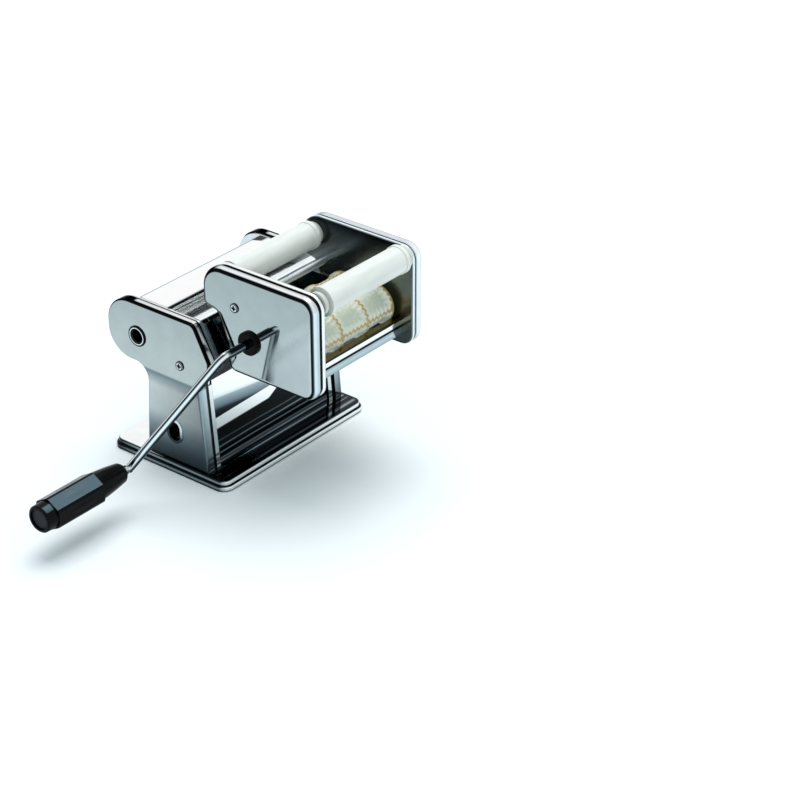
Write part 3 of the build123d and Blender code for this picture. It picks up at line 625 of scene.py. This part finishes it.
class RAVIOLI_OT_inside(bpy.types.Operator):
    """Finish the smooth rollers, their gears and the parts inside the body"""

    bl_idname = "ravioli.inside"
    bl_label = "Inside parts"

    def execute(self, context):
        metal = context.scene.ravioli_metal

        paint = Paint("roller_chrome")
        ring = paint.bands(paint.noise(6.0, 2.0, (0.5, 6, 6)), (0.3, "#E6EBED"), (0.7, "#F8FAFA"))
        colour = paint.mix(paint.ease(paint.along(x=1), -79.6, -80.2), ring, "#15191B")
        dress(paint.finish(colour, 0.22, metal=1.0, smudge=0.08), "fixed_roller", "movable_roller")

        paint = Paint("plain_steel")
        cloud = paint.bands(paint.noise(5.0, 4.0, (6, 1, 1)), (0.3, "#8D979C"), (0.7, "#C4CCD0"))
        colour = paint.mix(0.5, cloud, (*metal.steel, 1))
        dress(
            paint.finish(colour, 0.24, metal=1.0, smudge=0.14, grain=0.012, grain_size=0.5),
            "fixed_roller_gear",
            "movable_roller_gear",
            "front_mould_gear",
            "rear_mould_gear",
            "fixed_roller_scraper",
            "movable_roller_scraper",
            "tie_rods",
            "guide_pins",
            "attachment_rod",
        )

        paint = Paint("block_nylon")
        colour = paint.bands(paint.noise(1.2, 4.0), (0.3, "#17191B"), (0.7, "#222528"))
        dress(paint.finish(colour, 0.42, smudge=0.12, grain=0.02, grain_size=0.3), "movable_bearing_blocks")
        return {"FINISHED"}


class RAVIOLI_OT_fasteners(bpy.types.Operator):
    """Finish the screws, the crank bush and the clamp hole"""

    bl_idname = "ravioli.fasteners"
    bl_label = "Screws and bushes"

    def execute(self, context):
        for name, axis, top, node in (
            ("cover_screw_steel", COVER_SCREW_AXIS, COVER_SCREW_TOP, "cover_screws"),
            ("casing_screw_steel", CASING_SCREW_AXIS, CASING_SCREW_TOP, "casing_screws"),
        ):
            paint = Paint(name)
            away = paint.from_axis(axis)
            # Painted reflections in rings across the domed head.
            colour = paint.bands(
                away,
                (0.0, "#14191C"),
                (1.1, "#39444A"),
                (1.8, "#8A989F"),
                (2.4, "#C8D2D6"),
                (2.9, "#DDE4E6"),
                (3.3, "#2B3439"),
                (3.7, "#14191C"),
                (4.1, "#7D8B92"),
                (4.6, "#0B0E10"),
            )
            # Painted shade in the screwdriver recess.
            deep = paint.both(paint.ease(paint.spread(), top - 0.05, top - 0.2), paint.ease(away, 3.4, 3.1))
            colour = paint.mix(deep, colour, "#0B0E10")
            dress(paint.finish(colour, 0.16, metal=1.0, smudge=0.1, grain=0.004, grain_size=0.3), node)

        paint = Paint("base_screw_steel")
        colour = paint.bands(paint.noise(1.4, 3.0), (0.3, "#8D979C"), (0.7, "#C9D1D4"))
        dress(paint.finish(colour, 0.2, metal=1.0, smudge=0.12, grain=0.006, grain_size=0.3), "base_screws")

        paint = Paint("socket_bush_chrome")
        # Painted shade in the hole, then a painted highlight ring and a dark painted reflection round it.
        colour = paint.bands(
            paint.from_axis(FIXED_ROLLER_AXIS),
            (5.9, "#07090A"),
            (6.4, "#14181A"),
            (6.7, "#DCE4E7"),
            (7.9, "#F5F8F9"),
            (8.3, "#8A989F"),
            (8.6, "#0C0F11"),
            (10.0, "#101417"),
        )
        dress(paint.finish(colour, 0.1, metal=1.0, grain=0.004, grain_size=0.4), "socket_bush")

        paint = Paint("clamp_hole_chrome")
        outward = paint.spread()
        # Painted shade inside the clamp hole.
        colour = paint.bands(
            outward,
            (80.0, "#06080A"),
            (92.0, "#0B0E10"),
            (93.2, "#1E262B"),
            (94.2, "#39444A"),
        )
        # Painted highlight: a pale crescent on the upper side of the hole's mouth.
        upper = paint.ease(paint.along(y=-0.55, z=0.83), 36.0, 44.0)
        crescent = paint.both(upper, paint.ease(outward, 88.0, 90.0))
        colour = paint.mix(crescent, colour, "#D5DFE2")
        dress(paint.finish(colour, 0.12, metal=1.0, grain=0.004, grain_size=0.4), "clamp_hole_bush")
        return {"FINISHED"}


class RAVIOLI_OT_knob(bpy.types.Operator):
    """Finish the knob and its dial, and set the dial's numbers round it"""

    bl_idname = "ravioli.knob"
    bl_label = "Knob and dial"

    def execute(self, context):
        dial = context.scene.ravioli_dial
        paint = Paint("knob_black")
        colour = paint.bands(paint.noise(1.6, 3.0), (0.3, "#0B0C0E"), (0.7, "#141619"))
        colour = paint.mix(paint.ease(paint.along(x=1), 108.75, 108.9), colour, "#E4E7E8")
        material = paint.finish(colour, 0.2, shine=0.12, smudge=0.12, grain=0.01, grain_size=0.4)
        dress(material, "regulator_knob")

        paint = Paint("dial_metal")
        away = paint.from_axis(KNOB_AXIS)
        across_groove = paint.maths("FRACT", paint.maths("MULTIPLY", away, 2.5))
        turned = paint.bands(across_groove, (0.0, "#C4CBCE"), (0.5, "#DDE2E4"), (1.0, "#C4CBCE"))
        colour = paint.mix(paint.ease(away, 18.6, 18.8), turned, "#6F7A80")
        material = paint.finish(colour, 0.28, metal=1.0, smudge=0.1, grain=0.006, grain_size=0.3)
        dress(material, "regulator_dial")

        paint = Paint("dial_ink")
        ink = paint.mix(paint.noise(0.6, 2.0), (*dial.ink, 1), "#1D2124")
        material = paint.finish(ink, 0.45, smudge=0.1, grain=0.01, grain_size=0.2)
        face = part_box("regulator_dial")[1].x
        mesh = bmesh.new()
        for index in range(dial.count):
            angle = math.radians(DIAL_SWEEP / 2 - DIAL_SWEEP * index / (dial.count - 1))
            text = bpy.data.curves.new("number", "FONT")
            text.body = str(index + 1)
            text.size = dial.height
            text.extrude = NUMBER_RELIEF * MM
            text.align_x = "CENTER"
            text.align_y = "CENTER"
            holder = bpy.data.objects.new("number", text)
            bpy.context.scene.collection.objects.link(holder)
            bpy.context.view_layer.update()
            flat = bpy.data.meshes.new_from_object(holder.evaluated_get(context.evaluated_depsgraph_get()))
            up = Vector((0, math.sin(angle), math.cos(angle)))
            side = up.cross(Vector((1, 0, 0)))
            middle = Vector((face, KNOB_AXIS[0] * MM, KNOB_AXIS[1] * MM)) + up * dial.radius
            turn = Matrix((side * -1, up, Vector((1, 0, 0)))).transposed().to_4x4()
            flat.transform(Matrix.Translation(middle) @ turn)
            mesh.from_mesh(flat)
            bpy.data.objects.remove(holder)
            bpy.data.meshes.remove(flat)
        bmesh.ops.recalc_face_normals(mesh, faces=mesh.faces)
        new_piece("dial_numbers", mesh, material, "machine")
        return {"FINISHED"}


class RAVIOLI_OT_attachment(bpy.types.Operator):
    """Finish the attachment's casings, plates, strips and rails"""

    bl_idname = "ravioli.attachment"
    bl_label = "Attachment"

    def execute(self, context):
        metal = context.scene.ravioli_metal
        sheet = pressed_sheet(metal)

        paint = Paint("casing_chrome")
        # Face: a pale blue-grey painted reflection that shifts a little with height.
        height = paint.waver(paint.along(z=1), 2.0, 50.0)
        face = paint.bands(height, (109.5, "#BCCBD0"), (140, "#AEBFC4"), (170, "#A9BBC0"), (206, "#A2B4B9"))
        face = paint.mix(1.0, face, "#FFF6F0", "MULTIPLY")
        # Lower front of the face painted paler, a painted reflection, with raised roughness there.
        low_front = paint.ease(paint.along(y=0.664, z=0.747), 44, 24)
        low_front = paint.both(low_front, paint.ease(paint.along(y=1), -100, -112))
        face = paint.mix(low_front, face, "#D0DADC")
        width = paint.spread()
        # Rims: painted reflections in black and white bands across the rolled edge, pale on the front, black
        # at the back, near white on the far casing.
        dark_edge = paint.bands(
            width,
            (65.0, "#0B0E10"),
            (66.8, "#0B0E10"),
            (67.3, "#DDE4E6"),
            (71.0, "#F8FAFB"),
            (71.6, "#B4C0C4"),
            (72.0, "#0B0E10"),
            (73.6, "#0B0E10"),
            (73.85, "#39444A"),
        )
        pale_edge = paint.bands(
            width,
            (65.0, "#0B0E10"),
            (66.2, "#0B0E10"),
            (66.7, "#A9BAC0"),
            (67.6, "#DDE8EC"),
            (68.3, "#A9BAC0"),
            (69.0, "#CFDEE2"),
            (71.9, "#DDE9ED"),
            (72.7, "#4B5960"),
            (73.3, "#2B353A"),
            (73.85, "#6F828A"),
        )
        front = paint.ease(paint.facing(y=-1), 0.45, 0.8)
        edge = paint.mix(front, dark_edge, pale_edge)
        back_edge = paint.bands(
            width,
            (65.0, "#E9EFF1"),
            (66.8, "#C9D8DC"),
            (67.8, "#14191C"),
            (73.85, "#0A0C0E"),
        )
        back = paint.ease(paint.facing(y=1), 0.15, 0.35)
        edge = paint.mix(back, edge, back_edge)
        far_edge = paint.bands(width, (65.0, "#EEF3F5"), (72.0, "#FAFCFC"), (73.85, "#B4C4CA"))
        edge = paint.mix(paint.ease(paint.along(x=1), -1, 1), edge, far_edge)
        colour = paint.mix(paint.ease(width, 73.75, 73.95), edge, face)
        casing = {"edge": 0.45, "haze": paint.both(low_front, 0.4), **pressed_sheet(metal, 0.25, 0.3)}
        material = paint.finish(grazed(paint, colour, 0.3), 0.4 * metal.polish, **casing)
        dress(material, "near_casing", "far_casing")

        paint = Paint("bearing_nylon")
        colour = paint.mix(paint.noise(2.0, 4.0), (*metal.nylon, 1), "#060708")
        sideways = paint.maths("ABSOLUTE", paint.facing(x=1))
        # Painted highlight along the rim of the far plate.
        far_rim = paint.both(paint.ease(paint.along(x=1), 60, 62), paint.ease(sideways, 0.6, 0.4))
        colour = paint.mix(far_rim, colour, "#DDE6EA")
        material = paint.finish(colour, 0.32, shine=0.1, smudge=0.1, grain=0.02, grain_size=0.4)
        dress(material, "near_bearing_plate", "far_bearing_plate")

        paint = Paint("end_plate_chrome")
        # Inner walls: painted reflections by height, golden where the mould is reflected, dark towards the
        # top as painted shade.
        wall = paint.bands(
            paint.along(z=1),
            (109, "#6A747A"),
            (128, "#5C5E54"),
            (146, "#84826C"),
            (170, "#7C8485"),
            (195, "#4A5255"),
            (203, "#1D2327"),
            (206, "#14181A"),
        )
        width = paint.spread()
        # Rims: painted highlight, white towards the outer edge.
        rim = paint.bands(width, (58.5, "#1B2530"), (59.2, "#8796A0"), (60.0, "#EEF2F4"), (62.5, "#F8FAFA"))
        faces_near = paint.ease(paint.facing(x=-1), 0.85, 0.95)
        faces_far = paint.ease(paint.facing(x=1), 0.85, 0.95)
        inner_far = paint.both(faces_near, paint.ease(paint.along(x=1), -1, 1))
        inner_near = paint.both(faces_far, paint.ease(paint.along(x=1), 1, -1))
        colour = paint.mix(paint.maths("ADD", inner_far, inner_near), rim, wall)
        material = paint.finish(grazed(paint, colour, 0.3), metal.polish + 0.17, **sheet)
        dress(material, "near_end_plate", "far_end_plate")

        paint = Paint("strip_chrome")
        # Painted reflections in bands by height: a pale lower band, black painted shade in the seam, a white
        # bar and an olive top that reflects the ledge.
        colour = paint.bands(
            paint.along(z=1),
            (119.5, "#6F828A"),
            (120.8, "#A4B4B9"),
            (124.0, "#B9C8CC"),
            (126.6, "#A0B0B5"),
            (127.1, "#0B0E10"),
            (129.1, "#0B0E10"),
            (129.6, "#F2F7F8"),
            (133.2, "#FBFDFD"),
            (133.7, "#1F1F1B"),
            (134.6, "#2B2820"),
            (135.2, "#6F6342"),
            (136.2, "#7F7350"),
        )
        dress(paint.finish(grazed(paint, colour, 0.3), metal.polish + 0.03, **sheet), "front_strip")

        paint = Paint("slide_chrome")
        cloud = paint.bands(paint.noise(8.0, 3.0), (0.3, "#3A454B"), (0.7, "#5B6971"))
        material = paint.finish(cloud, 0.12, metal=1.0, smudge=0.08, grain=0.006, grain_size=0.5)
        dress(material, "slide_plate", "near_rail", "far_rail")

        paint = Paint("stripper_plastic")
        colour = paint.bands(paint.along(z=1), (111.5, "#2A2B26"), (122, "#55503A"), (130, "#7D7150"))
        material = paint.finish(colour, 0.4, smudge=0.12, grain=0.01, grain_size=0.4)
        dress(material, "front_stripper", "rear_stripper")
        return {"FINISHED"}


def swing(place, length):
    """Zigzag between -1 and 1 along a ridge."""
    part = place / length % 1.0
    return 1 - 4 * abs(part - 0.5)


def mould_height(x, round_place, mould):
    """Depth under the ridges at a place on the rolled-out drum."""
    turn_length = 2 * math.pi * mould.radius / mould.rows
    sideways = x + mould.tooth * swing(round_place, mould.tooth_length)
    across = (sideways / mould.pitch + mould.columns / 2) % 1.0
    to_column = min(across, 1 - across) * mould.pitch
    lengthways = round_place + mould.tooth * swing(x, mould.tooth_length)
    down = (lengthways / turn_length) % 1.0
    to_row = min(down, 1 - down) * turn_length
    if abs(sideways) > mould.pitch * mould.columns / 2:
        return 0.0
    slope = 1.0
    for distance in (to_column, to_row):
        part = min(1.0, max(0.0, (distance - mould.ridge / 2) / mould.slope))
        slope *= 1 - (1 - part) ** 2
    return mould.depth * slope


def grow_ring(mesh, edges, move=(0, 0, 0), scale=None, axis=None):
    """Extrude a ring of edges, then move it or draw it in to the axis, and return the new ring."""
    made = bmesh.ops.extrude_edge_only(mesh, edges=edges)["geom"]
    corners = [item for item in made if isinstance(item, bmesh.types.BMVert)]
    if scale is not None:
        centre = Matrix.Translation((0, -axis[0] * MM, -axis[1] * MM))
        bmesh.ops.scale(mesh, vec=(1, scale, scale), verts=corners, space=centre)
    bmesh.ops.translate(mesh, vec=move, verts=corners)
    sides = [item for item in made if isinstance(item, bmesh.types.BMEdge)]
    return [edge for edge in sides if all(corner in corners for corner in edge.verts)]


def ring_radius(edges, axis):
    """Mean distance of a ring's corners from the axis."""
    far = [math.hypot(v.co.y - axis[0] * MM, v.co.z - axis[1] * MM) for e in edges for v in e.verts]
    return sum(far) / len(far)


class RAVIOLI_OT_moulds(bpy.types.Operator):
    """Make the two mould rollers with toothed ridges and bowl-shaped pockets"""

    bl_idname = "ravioli.moulds"
    bl_label = "Mould rollers"

    def execute(self, context):
        mould = context.scene.ravioli_mould
        for name, axis, body, bored in (
            ("rear_mould_roller", REAR_MOULD_AXIS, "rear_mould", True),
            ("front_mould_roller", FRONT_MOULD_AXIS, "front_mould", False),
        ):
            paint = Paint(name + "_cast")
            away = paint.from_axis(axis)
            drift = paint.waver(away, 0.25, 3.0)
            top = mould.radius / MM
            # Pockets: darker towards the floor as painted shade, turning golden towards the ridges as a
            # painted reflection of the dough.
            pocket = paint.bands(
                drift,
                (top - 2.7, "#B9C2AE"),
                (top - 2.1, "#D9DDCB"),
                (top - 1.0, "#EDEBDC"),
                (top - 0.35, "#E2DABB"),
                (top, "#C9B883"),
            )
            pocket = paint.mix(paint.both(paint.noise(6.0, 3.0), 0.5), pocket, (*mould.pocket, 1))
            # The ridge tops get the ridge colour, a painted reflection of the dough.
            crest = paint.ease(away, top - 0.12, top - 0.03)
            colour = paint.mix(paint.both(crest, 0.75), pocket, (*mould.ridge_reflection, 1))
            material = paint.finish(colour, 0.32, smudge=0.15, grain=0.03, grain_size=0.5)

            length = 2 * mould.half_length
            girth = 2 * math.pi * mould.radius
            mesh = bmesh.new()
            bmesh.ops.create_grid(
                mesh, x_segments=round(length / mould.cell), y_segments=round(girth / mould.cell), size=0.5
            )
            for corner in mesh.verts:
                x = corner.co.x * length
                place = (corner.co.y + 0.5) * girth
                radius = mould.radius - mould_height(x, place, mould)
                angle = place / mould.radius
                y = axis[0] * MM + radius * math.cos(angle)
                z = axis[1] * MM + radius * math.sin(angle)
                corner.co = (x, y, z)
            bmesh.ops.remove_doubles(mesh, verts=mesh.verts, dist=0.001 * MM)
            journal = JOURNAL_RADIUS * MM
            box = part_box(name)
            for end, outer in ((-1, box[0].x), (1, box[1].x)):
                ring = [e for e in mesh.edges if e.is_boundary and e.verts[0].co.x * end > 0]
                ring = grow_ring(mesh, ring, scale=journal / ring_radius(ring, axis), axis=axis)
                ring = grow_ring(mesh, ring, move=(outer - end * mould.half_length, 0, 0))
                if bored and end < 0:
                    ring = grow_ring(mesh, ring, scale=SOCKET_RADIUS / JOURNAL_RADIUS, axis=axis)
                    ring = grow_ring(mesh, ring, move=(SOCKET_DEPTH * MM, 0, 0))
                bmesh.ops.contextual_create(mesh, geom=ring)
            bmesh.ops.recalc_face_normals(mesh, faces=mesh.faces)
            for face in mesh.faces:
                face.smooth = abs(face.normal.x) < 0.9
            new_piece(name + "_cast", mesh, material, body, (name,))
        return {"FINISHED"}


class RAVIOLI_OT_guides(bpy.types.Operator):
    """Finish the white guide rollers"""

    bl_idname = "ravioli.guides"
    bl_label = "Guide rollers"

    def execute(self, context):
        paint = Paint("guide_plastic")
        colour = paint.bands(paint.noise(7.0, 3.0, (4, 1, 1)), (0.3, "#E6E4DC"), (0.7, "#F1F0EB"))
        # Painted shade over the groove and the stub at each end.
        groove = paint.ease(paint.spread(), 51.8, 52.0)
        colour = paint.mix(paint.both(groove, 0.35), colour, "#A9A79C")
        material = paint.finish(colour, 0.34, smudge=0.1, grain=0.012, grain_size=0.6)
        dress(material, "front_guide_roller", "rear_guide_roller")
        return {"FINISHED"}


class RAVIOLI_OT_crank(bpy.types.Operator):
    """Finish the bent crank bar, its ferrule and its collar"""

    bl_idname = "ravioli.crank"
    bl_label = "Crank"

    def execute(self, context):
        metal = context.scene.ravioli_metal
        elbow = Vector((CRANK_ELBOW, *REAR_MOULD_AXIS))
        hub = Vector((CRANK_HUB, *HANDLE_AXIS))
        side = (hub - elbow).cross(Vector((-1, 0, 0))).normalized()

        paint = Paint("crank_chrome")
        # Painted reflections: dark and pale lines along the bar and the shaft.
        across = paint.maths("SUBTRACT", paint.along(*side), side.dot(hub))
        arm_colour = paint.bands(
            paint.waver(across, 0.12, 30.0),
            (-3.9, "#0C0F11"),
            (-3.1, "#1E262B"),
            (-2.6, "#8FA0A8"),
            (-2.1, "#DDE7EA"),
            (-0.9, "#E6EEF0"),
            (-0.3, "#8FA0A8"),
            (0.4, "#1A2024"),
            (1.3, "#14191C"),
            (1.7, "#BFCDD3"),
            (2.4, "#D5E0E4"),
            (2.8, "#14191C"),
            (3.9, "#0A0C0E"),
        )
        shaft_colour = paint.bands(
            across,
            (-3.9, "#0C0F11"),
            (-3.2, "#1A2024"),
            (-2.6, "#9FB0B8"),
            (-1.9, "#1E262B"),
            (2.2, "#0B0D0F"),
            (3.0, "#39444A"),
            (3.9, "#12171A"),
        )
        outward = paint.along(x=1)
        colour = paint.mix(paint.ease(outward, -100.5, -104.0), shaft_colour, arm_colour)
        # Painted highlight on the bend of the elbow.
        bend = paint.both(paint.ease(outward, -98.5, -101.5), paint.ease(outward, -109.0, -105.5))
        shine = paint.both(bend, paint.ease(across, 1.2, 2.4))
        colour = paint.mix(shine, colour, "#F6FAFB")
        dress(paint.finish(colour, metal.polish + 0.03, metal=1.0, grain=0.002, grain_size=0.6), "crank_rod")

        paint = Paint("ferrule_chrome")
        # Painted reflections: dark and pale lines along the ferrule.
        across = paint.maths("SUBTRACT", paint.along(*side), side.dot(hub))
        colour = paint.bands(
            across,
            (-4.4, "#1A2024"),
            (-2.6, "#8C9BA2"),
            (-1.6, "#F2F6F7"),
            (0.2, "#DDE4E7"),
            (1.0, "#1A2024"),
            (2.4, "#14191C"),
            (3.0, "#EEF3F5"),
            (4.4, "#5C6A71"),
        )
        dress(paint.finish(colour, 0.1, metal=1.0, grain=0.003, grain_size=0.4), "crank_ferrule")

        paint = Paint("collar_black")
        colour = paint.bands(paint.noise(2.0, 3.0), (0.3, "#040506"), (0.7, "#080A0C"))
        dress(paint.finish(colour, 0.16, shine=0.05, smudge=0.08), "crank_collar")
        return {"FINISHED"}


class RAVIOLI_OT_handle(bpy.types.Operator):
    """Finish the black grip and its end cap"""

    bl_idname = "ravioli.handle"
    bl_label = "Handle"

    def execute(self, context):
        handle = context.scene.ravioli_handle
        paint = Paint("grip_black")
        colour = paint.mix(paint.noise(3.0, 3.0), (*handle.black, 1), "#080A0C")
        # Painted reflection of a lamp on the upward facet, along the middle of the grip.
        upward = paint.facing(y=-0.5, z=0.866)
        panel = paint.ease(upward, 0.97, 0.985)
        place = paint.along(x=-1)
        between = paint.both(paint.ease(place, 205.5, 206.2), paint.ease(place, 259.8, 259.2))
        panel = paint.both(panel, between)
        colour = paint.mix(paint.both(panel, 0.92), colour, (*handle.panel, 1))
        # Painted highlight: a small pale patch on the top of the outer collar.
        collar = paint.both(paint.ease(upward, 0.955, 0.985), paint.ease(place, 260.5, 261.2))
        collar = paint.both(collar, paint.ease(place, 269.0, 268.0))
        colour = paint.mix(paint.both(collar, 0.8), colour, (*handle.panel, 1))
        dress(paint.finish(colour, handle.gloss, shine=0.06, smudge=0.08), "handle_grip")

        paint = Paint("cap_grey")
        away = paint.from_axis(HANDLE_AXIS)
        colour = paint.mix(paint.ease(away, 7.4, 8.8), (*handle.cap, 1), "#0A0B0D")
        material = paint.finish(colour, 0.4, shine=0.1, smudge=0.15, grain=0.012, grain_size=0.4)
        dress(material, "handle_end_cap")
        return {"FINISHED"}


def seen_rays(tree):
    """Output that is 1 for rays from the camera, from a mirror and through glass, and else 0."""
    ray = tree.nodes.new("ShaderNodeLightPath")
    seen = ray.outputs["Is Camera Ray"]
    for kind in ("Is Glossy Ray", "Is Transmission Ray"):
        added = tree.nodes.new("ShaderNodeMath")
        added.operation = "ADD"
        tree.links.new(seen, added.inputs[0])
        tree.links.new(ray.outputs[kind], added.inputs[1])
        seen = added.outputs[0]
    return seen


class RAVIOLI_OT_stage(bpy.types.Operator):
    """Set up the floor, the light and the camera"""

    bl_idname = "ravioli.stage"
    bl_label = "Stage"

    def execute(self, context):
        stage = context.scene.ravioli_stage
        scene = context.scene

        floor_mesh = bmesh.new()
        bmesh.ops.create_grid(floor_mesh, x_segments=1, y_segments=1, size=FLOOR_REACH)
        data = bpy.data.meshes.new("floor")
        floor_mesh.to_mesh(data)
        floor_mesh.free()
        floor = bpy.data.objects.new("floor", data)
        scene.collection.objects.link(floor)
        material = bpy.data.materials.new("floor")
        material.use_nodes = True
        tree = material.node_tree
        tree.nodes.clear()
        diffuse = tree.nodes.new("ShaderNodeBsdfDiffuse")
        diffuse.inputs["Color"].default_value = (*stage.floor, 1)
        glow = tree.nodes.new("ShaderNodeEmission")
        strength = tree.nodes.new("ShaderNodeMath")
        strength.operation = "MULTIPLY"
        tree.links.new(seen_rays(tree), strength.inputs[0])
        strength.inputs[1].default_value = stage.lift
        tree.links.new(strength.outputs[0], glow.inputs["Strength"])
        both = tree.nodes.new("ShaderNodeAddShader")
        tree.links.new(diffuse.outputs[0], both.inputs[0])
        tree.links.new(glow.outputs[0], both.inputs[1])
        output = tree.nodes.new("ShaderNodeOutputMaterial")
        tree.links.new(both.outputs[0], output.inputs["Surface"])
        data.materials.append(material)

        world = bpy.data.worlds.new("studio")
        scene.world = world
        world.use_nodes = True
        tree = world.node_tree
        tree.nodes.clear()
        soft = tree.nodes.new("ShaderNodeBackground")
        soft.inputs["Color"].default_value = (*stage.sky_colour, 1)
        soft.inputs["Strength"].default_value = stage.sky
        plain = tree.nodes.new("ShaderNodeBackground")
        plain.inputs["Color"].default_value = (1, 1, 1, 1)
        plain.inputs["Strength"].default_value = 1.0
        choose = tree.nodes.new("ShaderNodeMixShader")
        tree.links.new(seen_rays(tree), choose.inputs[0])
        tree.links.new(soft.outputs[0], choose.inputs[1])
        tree.links.new(plain.outputs[0], choose.inputs[2])
        output = tree.nodes.new("ShaderNodeOutputWorld")
        tree.links.new(choose.outputs[0], output.inputs["Surface"])

        lamp = bpy.data.lights.new("key", "SUN")
        lamp.energy = stage.key
        lamp.angle = stage.key_width
        holder = bpy.data.objects.new("key", lamp)
        scene.collection.objects.link(holder)
        toward = Vector(stage.key_direction).normalized()
        holder.rotation_euler = (-toward).to_track_quat("-Z", "Y").to_euler()

        lens = bpy.data.cameras.new("camera")
        lens.lens = stage.focal_length
        lens.sensor_width = 36
        lens.clip_end = 50
        camera = bpy.data.objects.new("camera", lens)
        scene.collection.objects.link(camera)
        camera.location = stage.camera_place
        camera.rotation_euler = (math.pi / 2 - stage.tilt, 0, stage.heading)
        scene.camera = camera
        scene.view_settings.view_transform = "Standard"
        return {"FINISHED"}


class RAVIOLI_PT_panel(bpy.types.Panel):
    """Lists the steps that finish the ravioli maker"""

    bl_idname = "RAVIOLI_PT_panel"
    bl_label = "Ravioli Maker"
    bl_space_type = "VIEW_3D"
    bl_region_type = "UI"
    bl_category = "Ravioli Maker"

    def draw(self, context):
        for operator in OPERATORS:
            self.layout.operator(operator.bl_idname)
        for group in GROUPS:
            settings = getattr(context.scene, group)
            for name in settings.__annotations__:
                self.layout.prop(settings, name)


OPERATORS = (
    RAVIOLI_OT_body,
    RAVIOLI_OT_inside,
    RAVIOLI_OT_fasteners,
    RAVIOLI_OT_knob,
    RAVIOLI_OT_attachment,
    RAVIOLI_OT_moulds,
    RAVIOLI_OT_guides,
    RAVIOLI_OT_crank,
    RAVIOLI_OT_handle,
    RAVIOLI_OT_stage,
)
GROUPS = {
    "ravioli_metal": MetalSettings,
    "ravioli_mould": MouldSettings,
    "ravioli_handle": HandleSettings,
    "ravioli_dial": DialSettings,
    "ravioli_stage": StageSettings,
}


def register():
    """Register the settings, the operators and the panel."""
    for name, group in GROUPS.items():
        bpy.utils.register_class(group)
        setattr(bpy.types.Scene, name, PointerProperty(type=group))
    for operator in (*OPERATORS, RAVIOLI_PT_panel):
        bpy.utils.register_class(operator)


def unregister():
    """Take them all out again."""
    for operator in (RAVIOLI_PT_panel, *reversed(OPERATORS)):
        bpy.utils.unregister_class(operator)
    for name, group in GROUPS.items():
        delattr(bpy.types.Scene, name)
        bpy.utils.unregister_class(group)


def main():
    """Register everything and run every step in order."""
    register()
    bpy.ops.ravioli.body()
    bpy.ops.ravioli.inside()
    bpy.ops.ravioli.fasteners()
    bpy.ops.ravioli.knob()
    bpy.ops.ravioli.attachment()
    bpy.ops.ravioli.moulds()
    bpy.ops.ravioli.guides()
    bpy.ops.ravioli.crank()
    bpy.ops.ravioli.handle()
    bpy.ops.ravioli.stage()


if __name__ == "__main__":
    main()
